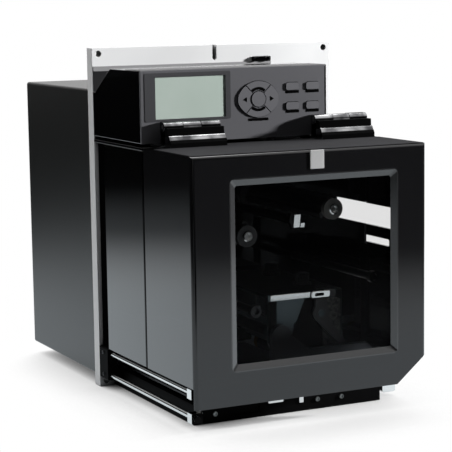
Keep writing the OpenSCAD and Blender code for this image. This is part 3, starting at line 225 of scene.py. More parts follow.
# %% [markdown]
# ## Painted sheet and moulded plastic
# The cover is powder coated, with a shallow orange peel. The door and the side panels are moulded in black
# under a clear gloss. Both could share one black, but the paint is paler and its gloss coarser, so they
# differ in colour, relief and roughness. The softer things are matt.

# %% Paint and plastic finishes
COAT_SHEEN, COAT_RELIEF, CLEAR_ROUGHNESS = 0.06, 0.6, 0.04


def coating(name, dark, light, roughness, grain, depth, specular=0.5, coat=0.0, patch=9.0):
    """A non-metal surface with a fine grain, a faint change of tone and perhaps a clear coat."""
    finish, tree, shader = new_finish(name)
    spot = place_on_object(tree)
    fine = noise(tree, spot, grain, detail=3.0, roughness=0.55)
    broad = noise(tree, spot, patch, detail=3.0)
    add_grain(tree, shader, (dark, light), broad, fine, roughness, COAT_SHEEN, depth, COAT_RELIEF)
    set_values(shader, Specular_IOR_Level=specular, Coat_Weight=coat, Coat_Roughness=CLEAR_ROUGHNESS)
    return finish


CHARCOAL = coating("charcoal_sheet", (0.005, 0.0053, 0.005), (0.008, 0.0085, 0.008), 0.34, 900, 40)
SHELL = coating("black_shell", (0.0012, 0.0012, 0.0013), (0.002, 0.002, 0.0022), 0.14, 1600, 6, 0.1, 1.0)
DOOR_BLACK = coating("door_black", (0.0058, 0.0058, 0.0064), (0.0082, 0.0082, 0.009), 0.14, 1600, 6, 0.1, 1.0)
TRIM_GREY = coating("trim_grey", (0.017, 0.0174, 0.0182), (0.021, 0.0215, 0.0224), 0.25, 1200, 20, coat=0.8)
DARK_PLASTIC = coating("dark_plastic", (0.014, 0.014, 0.015), (0.022, 0.022, 0.024), 0.42, 1500, 40)
PANEL_GREY = coating("panel_grey", (0.1, 0.1, 0.108), (0.125, 0.125, 0.134), 0.42, 1500, 20)
KEY_GREY = coating("key_grey", (0.122, 0.122, 0.132), (0.15, 0.15, 0.16), 0.38, 1500, 20)
CAP_GREY = coating("cap_grey", (0.1, 0.1, 0.098), (0.14, 0.14, 0.137), 0.45, 1400, 30)
FRAME_BLACK = coating("frame_black", (0.002, 0.002, 0.0021), (0.0036, 0.0036, 0.0038), 0.55, 1400, 30, 0.02)
MARK_BLACK = coating("mark_black", (0.0018, 0.0018, 0.0019), (0.003, 0.003, 0.0031), 0.75, 1600, 20, 0.05)
RUBBER = coating("roller_rubber", (0.016, 0.016, 0.016), (0.026, 0.026, 0.026), 0.72, 1800, 50, 0.3)
FOAM = coating("foam", (0.001, 0.001, 0.0011), (0.0018, 0.0018, 0.0019), 0.85, 2600, 200, 0.0)
BOARD = coating("board_green", (0.01, 0.07, 0.03), (0.016, 0.095, 0.042), 0.4, 700, 30)
MOTOR = coating("motor_case", (0.05, 0.052, 0.056), (0.075, 0.078, 0.083), 0.4, 800, 40)
print("coats from", CHARCOAL.name, "to", MOTOR.name)

# %% [markdown]
# ## Display and window pane
# The display is a pale grey-green liquid crystal behind a clear sheet, which a coat on top stands for. The
# window is a clear smoked pane. It could be solid glass that bends the light, but it is thin, so it lets
# most light straight through and mirrors only a little.

# %% Display and pane finishes
DISPLAY_CLOUDS = 30.0
DISPLAY, tree, shader = new_finish("display")
display_cloud = noise(tree, place_on_object(tree), DISPLAY_CLOUDS)
display_tone = blend_colours(tree, display_cloud, (0.430, 0.516, 0.459), (0.488, 0.562, 0.517))
tree.links.new(display_tone, shader.inputs["Base Color"])
set_values(shader, Roughness=0.35, Coat_Weight=0.6, Coat_Roughness=0.08)

PANE, _, shader = new_finish("clear_pane")
set_values(shader, Base_Color=(0.002, 0.002, 0.0022, 1), Roughness=0.05, IOR=1.25, Alpha=0.14)
print("display and pane:", DISPLAY.name, PANE.name)

# %% [markdown]
# ## Dress the CAD nodes
# Each node keeps its CAD mesh and takes a finish by the material slot that the record gives it. A few share
# a slot with others but look different on the real object, so they have finishes of their own. Real edges
# are never quite sharp and catch a thin line of light, so sixteen nodes with long edges get a weld and a
# small bevel, as modifiers that leave the mesh itself as it is.

# %% Finish of each slot
SLOT_FINISHES = (PLATE, CHARCOAL, ZINC, SHELL, BLACK_METAL, PANEL_GREY, KEY_GREY, DISPLAY, TRIM_GREY, PANE,
                 STEEL, HEAD_SHEET, HEAD_ALUMINIUM, DARK_PLASTIC, CAP_GREY, RUBBER, BRONZE, WEB_STEEL, BOARD,
                 MOTOR)
OWN_FINISHES = {"hinge_brackets": HINGE_METAL, "hinge_leaves": HINGE_METAL, "ribbon_posts": DARK_STEEL,
                "head_pivot_shaft": DARK_STEEL, "door_shell": DOOR_BLACK, "lower_frame": FRAME_BLACK,
                "guide_bracket": FRAME_BLACK, "supply_cap": DARK_PLASTIC}


def plain_name(finish):
    """A finish's name without the number that Blender puts after a name in use."""
    return finish.name.split(".")[0]


finish_of_slot = {plain_name(finish): finish for finish in SLOT_FINISHES}
for name, node in nodes.items():
    for slot in node.material_slots:
        slot.material = OWN_FINISHES.get(name) or finish_of_slot[plain_name(slot.material)]
print("dressed", len(nodes), "nodes")

# %% Rounded edges
FINE_EDGE, SOFT_EDGE, DOOR_EDGE = 0.0004, 0.0008, 0.0014
SHARPEST_TURN, FLAT_TURN = math.radians(38), math.radians(0.5)
WELD_REACH, BEVEL_STEPS = 0.000001, 2
SOFTENED = {
    FINE_EDGE: ("panel_face", "hinge_brackets", "hinge_leaves", "lower_frame", "guide_bracket",
                "media_guide", "pinch_arm", "rear_panel", "outer_bearing_plate", "top_panel"),
    SOFT_EDGE: ("main_plate", "electronics_cover", "left_side_panel", "right_side_panel", "control_housing"),
    DOOR_EDGE: ("door_shell",),
}


def soften(node, width):
    """Weld the faces, clear their inner edges, bevel the sharp ones and shade them evenly."""
    node.modifiers.new("weld", "WELD").merge_threshold = WELD_REACH
    flat = node.modifiers.new("flat", "DECIMATE")
    flat.decimate_type = "DISSOLVE"
    flat.angle_limit = FLAT_TURN
    bevel = node.modifiers.new("edge", "BEVEL")
    bevel.width = width
    bevel.segments = BEVEL_STEPS
    bevel.limit_method = "ANGLE"
    bevel.angle_limit = SHARPEST_TURN
    bevel.use_clamp_overlap = True
    node.modifiers.new("shade", "WEIGHTED_NORMAL").keep_sharp = False


for width, names in SOFTENED.items():
    for name in names:
        soften(nodes[name], width)
print("softened", sum(len(names) for names in SOFTENED.values()), "nodes")

# %% [markdown]
# ## Seats
# A small piece sits on the face that carries it. Its place could be typed in, but then it would hang in the
# air as soon as that face moves. So a line is cast onto the CAD node, and where it meets the face is the
# seat: a place and the way the face looks. It meets that one node only, so it may start anywhere in front.

# %% Seats on the CAD nodes
INWARDS, FORWARDS, DOWNWARDS = (0, 1, 0), (0, -1, 0), (0, 0, -1)
RIGHTWARDS, LEFTWARDS = (1, 0, 0), (-1, 0, 0)
UPRIGHT, LYING = (0, 0, 1), (0, 1, 0)
# Where a line starts on each side of the object, in mm
FRONT, BACK, LEFT, ABOVE = -200, 220, -130, 320


def box_mm(name):
    """A CAD node's lowest and highest corner in mm."""
    return [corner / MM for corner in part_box(name)]


def seat_on(name, start, direction):
    """Where a line from a point in mm meets a CAD node, and which way that face looks."""
    mesh = nodes[name].data
    corners = [vertex.co for vertex in mesh.vertices]
    surface = BVHTree.FromPolygons(corners, [face.vertices for face in mesh.polygons])
    place, outward, _, _ = surface.ray_cast(Vector(start) * MM, Vector(direction))
    return place, outward


def front_seat(name, x, z):
    """The seat on a line that runs inward from in front of the object."""
    return seat_on(name, (x, FRONT, z), INWARDS)


def standing(place, outward, upward=UPRIGHT):
    """A frame at a place, with Z outward and Y as near upward as it can be."""
    z_axis = Vector(outward).normalized()
    x_axis = Vector(upward).cross(z_axis).normalized()
    y_axis = z_axis.cross(x_axis)
    return Matrix.Translation(place) @ Matrix((x_axis, y_axis, z_axis)).transposed().to_4x4()


print("the liner lies at", in_mm(front_seat("inner_liner", 0, 150)[0]))

# %% [markdown]
# ## Shapes built from rings
# Screws, plates and marks are small and many, and each is a closed skin over a stack of rings: a screw has
# six about its axis, a plate three rounded rectangles. Booleans on primitives could cut them, but rings give
# clean quads, real chamfers and a socket with a floor from a few numbers.

# %% Rings and skins
RING_STEPS = 24
CORNER_STEPS = 5


def lay_rings(shape, frame_at, rings):
    """Rows of vertices from rings of points in mm."""
    return [[shape.verts.new(frame_at @ (Vector(point) * MM)) for point in ring] for ring in rings]


def join_rows(shape, lower, upper):
    """A band of faces between two rows."""
    for index in range(len(lower)):
        following = (index + 1) % len(lower)
        shape.faces.new((lower[index], lower[following], upper[following], upper[index]))


def stack_rings(shape, frame_at, rings):
    """A closed skin over rings of points in mm, with a cap at either end."""
    rows = lay_rings(shape, frame_at, rings)
    for lower, upper in zip(rows, rows[1:]):
        join_rows(shape, lower, upper)
    shape.faces.new(list(reversed(rows[0])))
    shape.faces.new(rows[-1])


def circle_ring(radius, height, hexagonal=False):
    """Points round a circle, or as many along the sides of the hexagon about it."""
    ring = []
    for step in range(RING_STEPS):
        turn = 2 * math.pi * step / RING_STEPS
        off = (turn + math.pi / 6) % (math.pi / 3) - math.pi / 6
        reach = radius / math.cos(off) if hexagonal else radius
        ring.append((reach * math.cos(turn), reach * math.sin(turn), height))
    return ring


def plate_ring(width, depth, radius, height):
    """Points round a rectangle with round corners, about its middle."""
    ring = []
    for quarter, (right_side, upper_side) in enumerate(((1, 1), (-1, 1), (-1, -1), (1, -1))):
        for step in range(CORNER_STEPS + 1):
            turn = (quarter + step / CORNER_STEPS) * math.pi / 2
            ring.append((right_side * (width / 2 - radius) + radius * math.cos(turn),
                         upper_side * (depth / 2 - radius) + radius * math.sin(turn), height))
    return ring


print("a plate's ring has", len(plate_ring(4, 2, 0.5, 0)), "points")

# %% Plates, profiles and pieces
SUNK = 0.05
LEAST_CORNER = 0.05
IN_PLACE = Matrix.Identity(4)


def add_plate(shape, frame_at, width, depth, radius, thickness, edge, sunk=SUNK):
    """A plate with round corners and a chamfered front, sunk a hair into what carries it."""
    stack_rings(shape, frame_at, [
        plate_ring(width, depth, radius, -sunk), plate_ring(width, depth, radius, thickness - edge),
        plate_ring(width - 2 * edge, depth - 2 * edge, max(radius - edge, LEAST_CORNER), thickness)])


def add_frame(shape, frame_at, outer, inner, shift, thickness):
    """A flat frame between two rounded rectangles, the inner one moved aside."""
    rings = []
    for size, move, height in ((outer, (0, 0), -SUNK), (outer, (0, 0), thickness),
                               (inner, shift, thickness), (inner, shift, -SUNK)):
        rings.append([(x + move[0], y + move[1], z) for x, y, z in plate_ring(*size, height)])
    rows = lay_rings(shape, frame_at, rings)
    for lower, upper in zip(rows, rows[1:] + rows[:1]):
        join_rows(shape, lower, upper)


def add_outline(shape, frame_at, points, thickness):
    """A flat plate with any outline, given as points in the frame's X and Y."""
    stack_rings(shape, frame_at, [[(x, y, height) for x, y in points] for height in (-SUNK, thickness)])


def add_turned(shape, frame_at, profile):
    """A turned piece from pairs of radius and height."""
    stack_rings(shape, frame_at, [circle_ring(radius, height) for radius, height in profile])


def make_piece(name, shape, finish, body="chassis"):
    """A bmesh as a piece that rides on a CAD body, in the given finish."""
    bmesh.ops.recalc_face_normals(shape, faces=shape.faces)
    mesh = bpy.data.meshes.new(name)
    shape.to_mesh(mesh)
    shape.free()
    mesh.materials.append(finish)
    piece = bpy.data.objects.new(name, mesh)
    scene.collection.objects.link(piece)
    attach(piece, body)


def seated_plate(name, seat, size, finish, body="chassis", upward=UPRIGHT, sunk=SUNK):
    """A piece of one plate on a seat, with its width, depth, corner radius, thickness and chamfer."""
    shape = bmesh.new()
    add_plate(shape, standing(*seat, upward), *size, sunk)
    make_piece(name, shape, finish, body)


print("plates are sunk", SUNK, "mm")

# %% [markdown]
# ## Screws
# Sheet and castings are held by button-head screws with hexagon sockets. One mesh could be copied about, but
# each head is seated on the CAD face that carries it, so it follows the face. Heads of one group share a
# mesh, as they share a finish and move together.

# %% Screw heads
HEAD_SUNK = 0.1
# Shares of the head's radius and of its height, from the rim to the crown
HEAD_PROFILE = ((1.0, 0.4), (0.93, 0.72), (0.76, 1.0))
SOCKET_SHARE, SOCKET_FLOOR = 0.5, 0.3
SOCKET_TURN = (0.1, 0.2, 1)


def add_screw(shape, place, outward, radius, rise):
    """A button head with a hexagon socket."""
    rings = [circle_ring(radius, -HEAD_SUNK)]
    rings += [circle_ring(radius * across, rise * height) for across, height in HEAD_PROFILE]
    rings += [circle_ring(radius * SOCKET_SHARE, rise * height, True) for height in (1.0, SOCKET_FLOOR)]
    stack_rings(shape, standing(place, outward, SOCKET_TURN), rings)


REAR_SPOTS = [(x, BACK, z) for x in (-109, 103) for z in (20, 137, 254)]
FRAME_SPOTS = [(-84, FRONT, 7.5), (11, FRONT, 8.4), (34, FRONT, 8.1)]
LINER_SPOTS = [(x, FRONT, z) for x in (-100, 84) for z in (50, 208)]
ROD_SPOTS = [(LEFT, 5, z) for z in (33, 13.5)]
# Name, node, finish, head radius, head height, way of the line and its starts
SCREW_GROUPS = (
    ("rear_panel_screws", "rear_panel", STEEL, 2.8, 1.6, FORWARDS, REAR_SPOTS),
    ("frame_screws", "lower_frame", HEAD_ALUMINIUM, 2.2, 1.3, INWARDS, FRAME_SPOTS),
    ("liner_screws", "inner_liner", BLACK_METAL, 2.5, 1.4, INWARDS, LINER_SPOTS),
    ("rod_screws", "guide_bracket", BLACK_METAL, 1.6, 0.8, RIGHTWARDS, ROD_SPOTS),
)
for name, node, finish, radius, rise, direction, starts in SCREW_GROUPS:
    shape = bmesh.new()
    for start in starts:
        add_screw(shape, *seat_on(node, start, direction), radius, rise)
    make_piece(name, shape, finish)
    print(name, len(starts))

# %% [markdown]
# ## Connector inserts
# The connectors on the back are metal shells with a dark moulding and two rows of contacts inside. They
# could be drawn in the material, but contacts catch the light one by one. So each insert is a plate with the
# shell's own slanted outline, and each contact a short turned stud.

# %% Connector inserts
# Each port's place from the cover's right edge and from its foot, and its width
PORTS = ((62, 60, 56), (62, 100, 43), (44, 140, 21), (44, 180, 29))
PORT_HEIGHT, PORT_SLOPE, PORT_WALL, PORT_CLEAR = 13.0, 3.0, 1.2, 0.9
INSERT_RISE = 0.5
CONTACT_STEP, CONTACT_ROW, CONTACT_MARGIN = 2.76, 1.7, 2.0
CONTACT_PROFILE = ((0.55, -0.1), (0.55, 0.25), (0.33, 0.4))

cover_low, cover_high = box_mm("electronics_cover")
insert_shape = bmesh.new()
contact_shape = bmesh.new()
contacts = 0
for from_edge, port_z, port_width in PORTS:
    start = (cover_high.x - from_edge, BACK, cover_low.z + port_z)
    port_frame = standing(*seat_on("port_connectors", start, FORWARDS))
    half_top = port_width / 2 - PORT_WALL - PORT_CLEAR
    half_low = half_top - PORT_SLOPE
    half_high = PORT_HEIGHT / 2 - PORT_WALL - PORT_CLEAR
    outline = [(-half_low, -half_high), (half_low, -half_high), (half_top, half_high), (-half_top, half_high)]
    add_outline(insert_shape, port_frame, outline, INSERT_RISE)
    across = int((2 * half_low - CONTACT_MARGIN) / CONTACT_STEP) + 1
    for row_y in (-CONTACT_ROW, CONTACT_ROW):
        for step in range(across):
            contact_x = (step - (across - 1) / 2) * CONTACT_STEP
            stud = port_frame @ Matrix.Translation(Vector((contact_x, row_y, INSERT_RISE)) * MM)
            add_turned(contact_shape, stud, CONTACT_PROFILE)
            contacts += 1
make_piece("connector_inserts", insert_shape, DARK_PLASTIC)
make_piece("connector_contacts", contact_shape, BRONZE)
print("inserts for", len(PORTS), "connectors with", contacts, "contacts")

# %% [markdown]
# ## Badge plate, clip, seal and mat
# A small bare satin plate sits on the door's top rail, a dark clip with two screws on the main plate above
# the panel's right end, and matt black foam in the set-in face beside the plate. A thin rubber mat covers
# the door's top; a finish alone could not do that, as the rest of the door is a mirror. All are thin plates,
# and the mat is cut round the hinge leaves.

# %% Badge, clip and foam seal
BADGE_MIDDLE = (-7.3, 213.2)
BADGE_SIZE = (12.6, 15.0, 0.9, 0.8, 0.3)
CLIP_MIDDLE = (47, 286.4)
CLIP_THICK = 1.6
CLIP_SIZE = (19, 4.4, 1.0, CLIP_THICK, 0.4)
CLIP_SCREW_X, CLIP_SCREW_RADIUS, CLIP_SCREW_RISE = (41.5, 52.5), 2.4, 1.6
FOAM_Y, FOAM_WIDTH, FOAM_SHORTER = 3.2, 21, 1
FOAM_EDGES = (0.8, 2.5, 0.6)

BADGE = metal("badge_satin", (0.49, 0.49, 0.49), (0.56, 0.56, 0.56), 0.42, EVEN, 1400, 20, 0.3)
badge_seat = front_seat("door_shell", *BADGE_MIDDLE)
seated_plate("badge_plate", badge_seat, BADGE_SIZE, BADGE, "door")

shape = bmesh.new()
clip_place, clip_out = front_seat("main_plate", *CLIP_MIDDLE)
add_plate(shape, standing(clip_place, clip_out), *CLIP_SIZE)
for clip_x in CLIP_SCREW_X:
    screw_place = Vector((clip_x * MM, clip_place.y - CLIP_THICK * MM, clip_place.z))
    add_screw(shape, screw_place, clip_out, CLIP_SCREW_RADIUS, CLIP_SCREW_RISE)
make_piece("plate_clip", shape, BLACK_METAL)

side_low, side_high = box_mm("left_side_panel")
foam_seat = seat_on("left_side_panel", (LEFT, FOAM_Y, (side_low.z + side_high.z) / 2), RIGHTWARDS)
foam_size = (FOAM_WIDTH, side_high.z - side_low.z - FOAM_SHORTER, *FOAM_EDGES)
seated_plate("foam_seal", foam_seat, foam_size, FOAM)
print("badge at", in_mm(badge_seat[0]), "and seal at", in_mm(foam_seat[0]))

# %% Mat on the door's top
KNUCKLE = 17.0
HINGE_WIDTH = 3 * KNUCKLE
MAT_EDGE, MAT_FRONT, MAT_HINGE, MAT_CLEAR, MAT_THICK = 1.4, 2.0, 0.9, 0.6, 0.4

TOP_MAT = coating("top_mat", (0.02, 0.02, 0.022), (0.029, 0.029, 0.031), 0.8, 1100, 100, 0.1, patch=40.0)
door_low, door_high = box_mm("door_shell")
leaf_low, leaf_high = box_mm("hinge_leaves")
hinge_starts = (leaf_low.x, leaf_high.x - HINGE_WIDTH)
left, right = door_low.x + MAT_EDGE, door_high.x - MAT_EDGE
front, back, hinge = door_low.y + MAT_FRONT, door_high.y - MAT_EDGE, leaf_low.y - MAT_HINGE
tongue_left, tongue_right = hinge_starts[0] + HINGE_WIDTH + MAT_CLEAR, hinge_starts[1] - MAT_CLEAR
mat_outline = [(left, front), (right, front), (right, hinge), (tongue_right, hinge),
               (tongue_right, back), (tongue_left, back), (tongue_left, hinge), (left, hinge)]
mat_place, mat_out = seat_on("door_shell", (0, (front + hinge) / 2, ABOVE), DOWNWARDS)
shape = bmesh.new()
add_outline(shape, standing(Vector((0, 0, mat_place.z)), mat_out, LYING), mat_outline, MAT_THICK)
make_piece("door_top_mat", shape, TOP_MAT, "door")
print("mat from x", round(left, 1), "to", round(right, 1), "mm")

# %% [markdown]
# ## Display rim and key marks
# A darker film frames the display and a paler strip lies on the housing's top. A black foam strip and
# a grey rail on the plate behind the housing are painted shade for the groove there, and a black strip on
# the panel's right bevel is painted shade too. The left and right keys have printed triangles; the arcs on
# the upper and lower keys and the bar under the pad and at each function key's foot are painted shadows
# below the keys. They could be painted in the material, but they stand proud, so they are real plates a
# fraction of a millimetre high, and those on a key travel with it.

# %% Display rim
FILM_RISE, LCD_FRAME = 0.25, 2.0
GLASS_CORNER, RIM_CORNER = 0.4, 1.2
RIM_LEFT, RIM_RIGHT, RIM_UP, RIM_DOWN = 9.5, 4.5, 3.4, 1.8
FACE_ASIDE, FACE_UP = 3, 10

RIM_FILM = coating("rim_film", (0.052, 0.052, 0.056), (0.066, 0.066, 0.071), 0.35, 1500, 10)
lcd_low, lcd_high = box_mm("lcd_module")
lcd_middle = (lcd_low + lcd_high) / 2
glass_wide, glass_high = lcd_high.x - lcd_low.x - 2 * LCD_FRAME, lcd_high.z - lcd_low.z - 2 * LCD_FRAME
rim_wide, rim_high = glass_wide + RIM_LEFT + RIM_RIGHT, glass_high + RIM_UP + RIM_DOWN
glass_shift = ((RIM_LEFT - RIM_RIGHT) / 2, (RIM_DOWN - RIM_UP) / 2)
face_place, face_out = front_seat("panel_face", lcd_low.x - FACE_ASIDE, lcd_low.z + FACE_UP)
rim_place = Vector((lcd_middle.x - glass_shift[0], face_place.y / MM, lcd_middle.z - glass_shift[1])) * MM
shape = bmesh.new()
add_frame(shape, standing(rim_place, face_out), (rim_wide, rim_high, RIM_CORNER),
          (glass_wide, glass_high, GLASS_CORNER), glass_shift, FILM_RISE)
make_piece("display_rim", shape, RIM_FILM)
print("display rim", round(rim_wide, 1), "by", round(rim_high, 1), "mm")

# %% Housing strip, painted groove shade and panel edge shade
STRIP_MIDDLE, STRIP_SIZE = (-30.2, -73.2), (174.4, 30.4, 1.0, 0.4, 0.15)
GROOVE_FOOT, GROOVE_TURN, HALF_SHADE_PROUD, GROOVE_SHORTER = 20.6, 3.6, 0.6, 1.2
GROOVE_EDGES = (0.4, 0.7, 0.2)
EDGE_MIDDLE, EDGE_SIZE = (54.6, 253.7), (3.2, 58.5, 0.3, 0.3, 0.1)

STRIP_GREY = coating("strip_grey", (0.125, 0.125, 0.128), (0.155, 0.155, 0.158), 0.6, 1200, 30, 0.2)
strip_seat = seat_on("control_housing", (*STRIP_MIDDLE, ABOVE), DOWNWARDS)
seated_plate("housing_top_strip", strip_seat, STRIP_SIZE, STRIP_GREY, upward=LYING)

# Painted shade: the groove between plate and housing lies in shadow, so a black strip fills it and a grey one
# shows above the housing's top.
GROOVE_HALF_SHADE = coating("groove_half_shade", (0.26, 0.26, 0.265), (0.31, 0.31, 0.315), 0.6, 1200, 30, 0.2)
housing_low, housing_high = box_mm("control_housing")
groove_turn = housing_high.z - GROOVE_TURN
# Name, lower and upper edge, finish and slot
GROOVE_STRIPS = (
    ("groove_shade_strip", housing_high.z - GROOVE_FOOT, groove_turn, DARK_PLASTIC, "roller_rubber"),
    ("groove_half_shade_strip", groove_turn, housing_high.z + HALF_SHADE_PROUD, GROOVE_HALF_SHADE, "panel_grey"),
)
for name, low, high, finish, slot in GROOVE_STRIPS:
    groove_seat = front_seat("main_plate", (housing_low.x + housing_high.x) / 2, (low + high) / 2)
    groove_size = (housing_high.x - housing_low.x - GROOVE_SHORTER, high - low, *GROOVE_EDGES)
    seated_plate(name, groove_seat, groove_size, finish)

# Painted shade: a matt black strip darkens the panel's right bevel.
edge_seat = front_seat("panel_face", *EDGE_MIDDLE)
seated_plate("panel_edge_shade", edge_seat, EDGE_SIZE, MARK_BLACK)
print("the panel's edge at", in_mm(edge_seat[0]))

# %% Printed arrows and painted shadows that travel with the keys
MARK_RISE = 0.14
ARROW_REACH, ARROW_OUT = 2.3, 12.2
SHADE_ARC_INNER, SHADE_ARC_OUTER, SHADE_ARC_HALF, SHADE_ARC_STEPS = 7.9, 10.2, 40, 10
ARROW_KEYS = ("nav_left", "nav_right")
KEY_TURNS = {"nav_up": 90, "nav_left": 180, "nav_down": 270, "nav_right": 0}
pad_middle = sum(box_mm("nav_select"), Vector()) / 2


def polar(radius, degrees):
    """A point in X and Y at a distance and a direction."""
    return radius * math.cos(math.radians(degrees)), radius * math.sin(math.radians(degrees))


def shade_arc_outline(degrees):
    """A piece of a flat ring about the pad's middle, as a painted shadow along a key's edge."""
    turns = [degrees + SHADE_ARC_HALF * (2 * step / SHADE_ARC_STEPS - 1) for step in range(SHADE_ARC_STEPS + 1)]
    return [polar(SHADE_ARC_OUTER, turn) for turn in turns] + [polar(SHADE_ARC_INNER, turn) for turn in reversed(turns)]


for name, degrees in KEY_TURNS.items():
    key_x, key_z = polar(ARROW_OUT, degrees)
    mark_place, mark_out = front_seat(name, pad_middle.x + key_x, pad_middle.z + key_z)
    # The left and right keys get printed triangles. The upper and lower keys get arcs of painted shadow
    # beside the middle key.
    if name in ARROW_KEYS:
        mark_outline = [polar(ARROW_REACH, degrees + 120 * corner) for corner in range(3)]
    else:
        mark_outline = shade_arc_outline(degrees)
        mark_place = Vector((pad_middle.x * MM, mark_place.y, pad_middle.z * MM))
    shape = bmesh.new()
    add_outline(shape, standing(mark_place, mark_out), mark_outline, MARK_RISE)
    make_piece(name + "_mark", shape, MARK_BLACK, name)
print("marked", len(KEY_TURNS), "keys about", in_mm(pad_middle * MM))

# %% Painted shadows under the keys
FUNCTION_KEYS = ("feed_button", "pause_button", "cancel_button", "setup_button")
KEY_SHADOW_BAR, PAD_SHADOW_BAR, PAD_SHADOW_DROP = 13.0, 19.0, 0.4
BAR_HEIGHT, BAR_CORNER, BAR_EDGE = 2.4, 0.6, 0.05

# Painted shadow: a black bar under each function key and under the pad stands for the shade below them.
shadow_bar_spots = []
for name in FUNCTION_KEYS:
    key_low, key_high = box_mm(name)
    shadow_bar_spots.append(((key_low.x + key_high.x) / 2, key_low.z, KEY_SHADOW_BAR))
shadow_bar_spots.append((pad_middle.x, box_mm("nav_down")[0].z - PAD_SHADOW_DROP, PAD_SHADOW_BAR))
shape = bmesh.new()
for bar_x, bar_z, bar_width in shadow_bar_spots:
    bar_frame = standing(*front_seat("panel_face", bar_x, bar_z))
    add_plate(shape, bar_frame, bar_width, BAR_HEIGHT, BAR_CORNER, MARK_RISE, BAR_EDGE)
make_piece("key_shadow_bars", shape, MARK_BLACK)
print(len(shadow_bar_spots), "bars on the face")

# %% [markdown]
# ## Print head dress and front tabs
# The head's sheet ends in a bright folded lip that leans forward, so it mirrors the white ground as one thin
# line. Black film covers the rest of its front, with a rough cast cheek at the right. The latch's knob, the
# ribbon post's clip and the spindle ends carry small bright parts, and two tabs show under the door. One
# bright metal for the whole head would glare, so each is a small piece of its own.

# %% Print head dress
LIP_LEAN = math.radians(10)
LIP_X, LIP_Y, LIP_DROP = -0.8, -126.6, 2.6
LIP_SIZE, LIP_SUNK = (38, 5.0, 0.8, 0.7, 0.2), 0.6
HEAD_FRONT = (40, 80)
FILM_THICK, CHEEK_THICK = 0.2, 0.3
RIGHT_FILM = [(13.5, 89.6), (-3.6, 49), (43.3, 43.4), (48.9, 49.2), (48.9, 94.2), (18.8, 94.2), (18.8, 89.6)]
LEFT_FILM = [(-21.6, 89.6), (-21.6, 55.0), (-18.6, 49.2), (-13.4, 49.2), (-13.4, 89.6)]
CHEEK = [(29.5, 88.0), (30.5, 47.0), (42.6, 44.6), (48.0, 50.0), (48.0, 86.0), (44.0, 88.0)]

lip_out = Vector((0, -math.cos(LIP_LEAN), -math.sin(LIP_LEAN)))
lip_place = Vector((LIP_X, LIP_Y, box_mm("head_bracket")[1].z - LIP_DROP)) * MM
seated_plate("head_lip", (lip_place, lip_out), LIP_SIZE, STEEL, body="print_head", sunk=LIP_SUNK)

film_place, film_out = front_seat("head_bracket", *HEAD_FRONT)
film_frame = standing(Vector((0, film_place.y, 0)), film_out)
shape = bmesh.new()
for film in (RIGHT_FILM, LEFT_FILM):
    add_outline(shape, film_frame, film, FILM_THICK)
make_piece("head_film", shape, MARK_BLACK, "print_head")

CASTING = metal("head_casting", (0.004, 0.004, 0.004), (0.085, 0.085, 0.08), 0.5, EVEN, 900, 100, 0.2, 380.0)
shape = bmesh.new()
add_outline(shape, film_frame, CHEEK, CHEEK_THICK)
make_piece("head_casting", shape, CASTING, "print_head")
print("lip at", in_mm(lip_place), "and film at y", round(film_place.y / MM, 1))

# %% Knob, spindle ends, post clip and front tabs
KNOB_SPOT, KNOB_ASIDE = (27.5, 95.5), 8.6
KNOB_SIZE, KNOB_SUNK = (17, 5.6, 1.0, 1.0, 0.2), 0.5
EYE_SIZE, EYE_ASIDE, EYE_OUT = (8.4, 2.6, 0.8, 0.15, 0.05), 1.4, 1.0
SPINDLE_RIM, SPINDLE_INSET, SPINDLE_RADIUS, SPINDLE_RISE = 7, 0.6, 4.8, 2.6
# The middle in X and Z, the width and the height of each plate
POST_PLATES = ((2.4, 157.2, 6.0, 11.5), (7.6, 153.4, 4.0, 4.0))
POST_EDGES, POST_SUNK = (0.5, 1.2, 0.2), 1.1
TABS = ((-28.5, 11.5, 14, 3), (-4.5, 10.2, 4, 6))
TAB_EDGES = (0.6, 1.0, 0.25)

knob_place, _ = front_seat("head_latch", *KNOB_SPOT)
knob_place.x -= KNOB_ASIDE * MM
seated_plate("knob_plate", (knob_place, lip_out), KNOB_SIZE, STEEL, body="head_latch", sunk=KNOB_SUNK)
eye_place = knob_place + lip_out * EYE_OUT * MM - Vector((EYE_ASIDE * MM, 0, 0))
seated_plate("knob_eye", (eye_place, lip_out), EYE_SIZE, MARK_BLACK, "head_latch")

for body, cap_name in (("supply_spindle", "supply_cap"), ("takeup_spindle", "takeup_cap")):
    cap_middle = sum(box_mm(cap_name), Vector()) / 2
    rim_seat, end_out = front_seat(cap_name, cap_middle.x + SPINDLE_RIM, cap_middle.z)
    end_place = Vector((cap_middle.x, rim_seat.y / MM + SPINDLE_INSET, cap_middle.z)) * MM
    shape = bmesh.new()
    add_screw(shape, end_place, end_out, SPINDLE_RADIUS, SPINDLE_RISE)
    make_piece(cap_name + "_screw", shape, STEEL, body=body)

shape = bmesh.new()
for plate_x, plate_z, plate_wide, plate_high in POST_PLATES:
    post_place, _ = front_seat("ribbon_posts", plate_x, plate_z)
    add_plate(shape, standing(post_place, lip_out), plate_wide, plate_high, *POST_EDGES, POST_SUNK)
make_piece("post_clip", shape, STEEL)

shape = bmesh.new()
for tab_x, tab_z, tab_wide, tab_high in TABS:
    tab_frame = standing(*front_seat("lower_frame", tab_x, tab_z))
    add_plate(shape, tab_frame, tab_wide, tab_high, *TAB_EDGES)
make_piece("front_tabs", shape, STEEL)
print("knob at", in_mm(knob_place), "with", len(TABS), "tabs below")

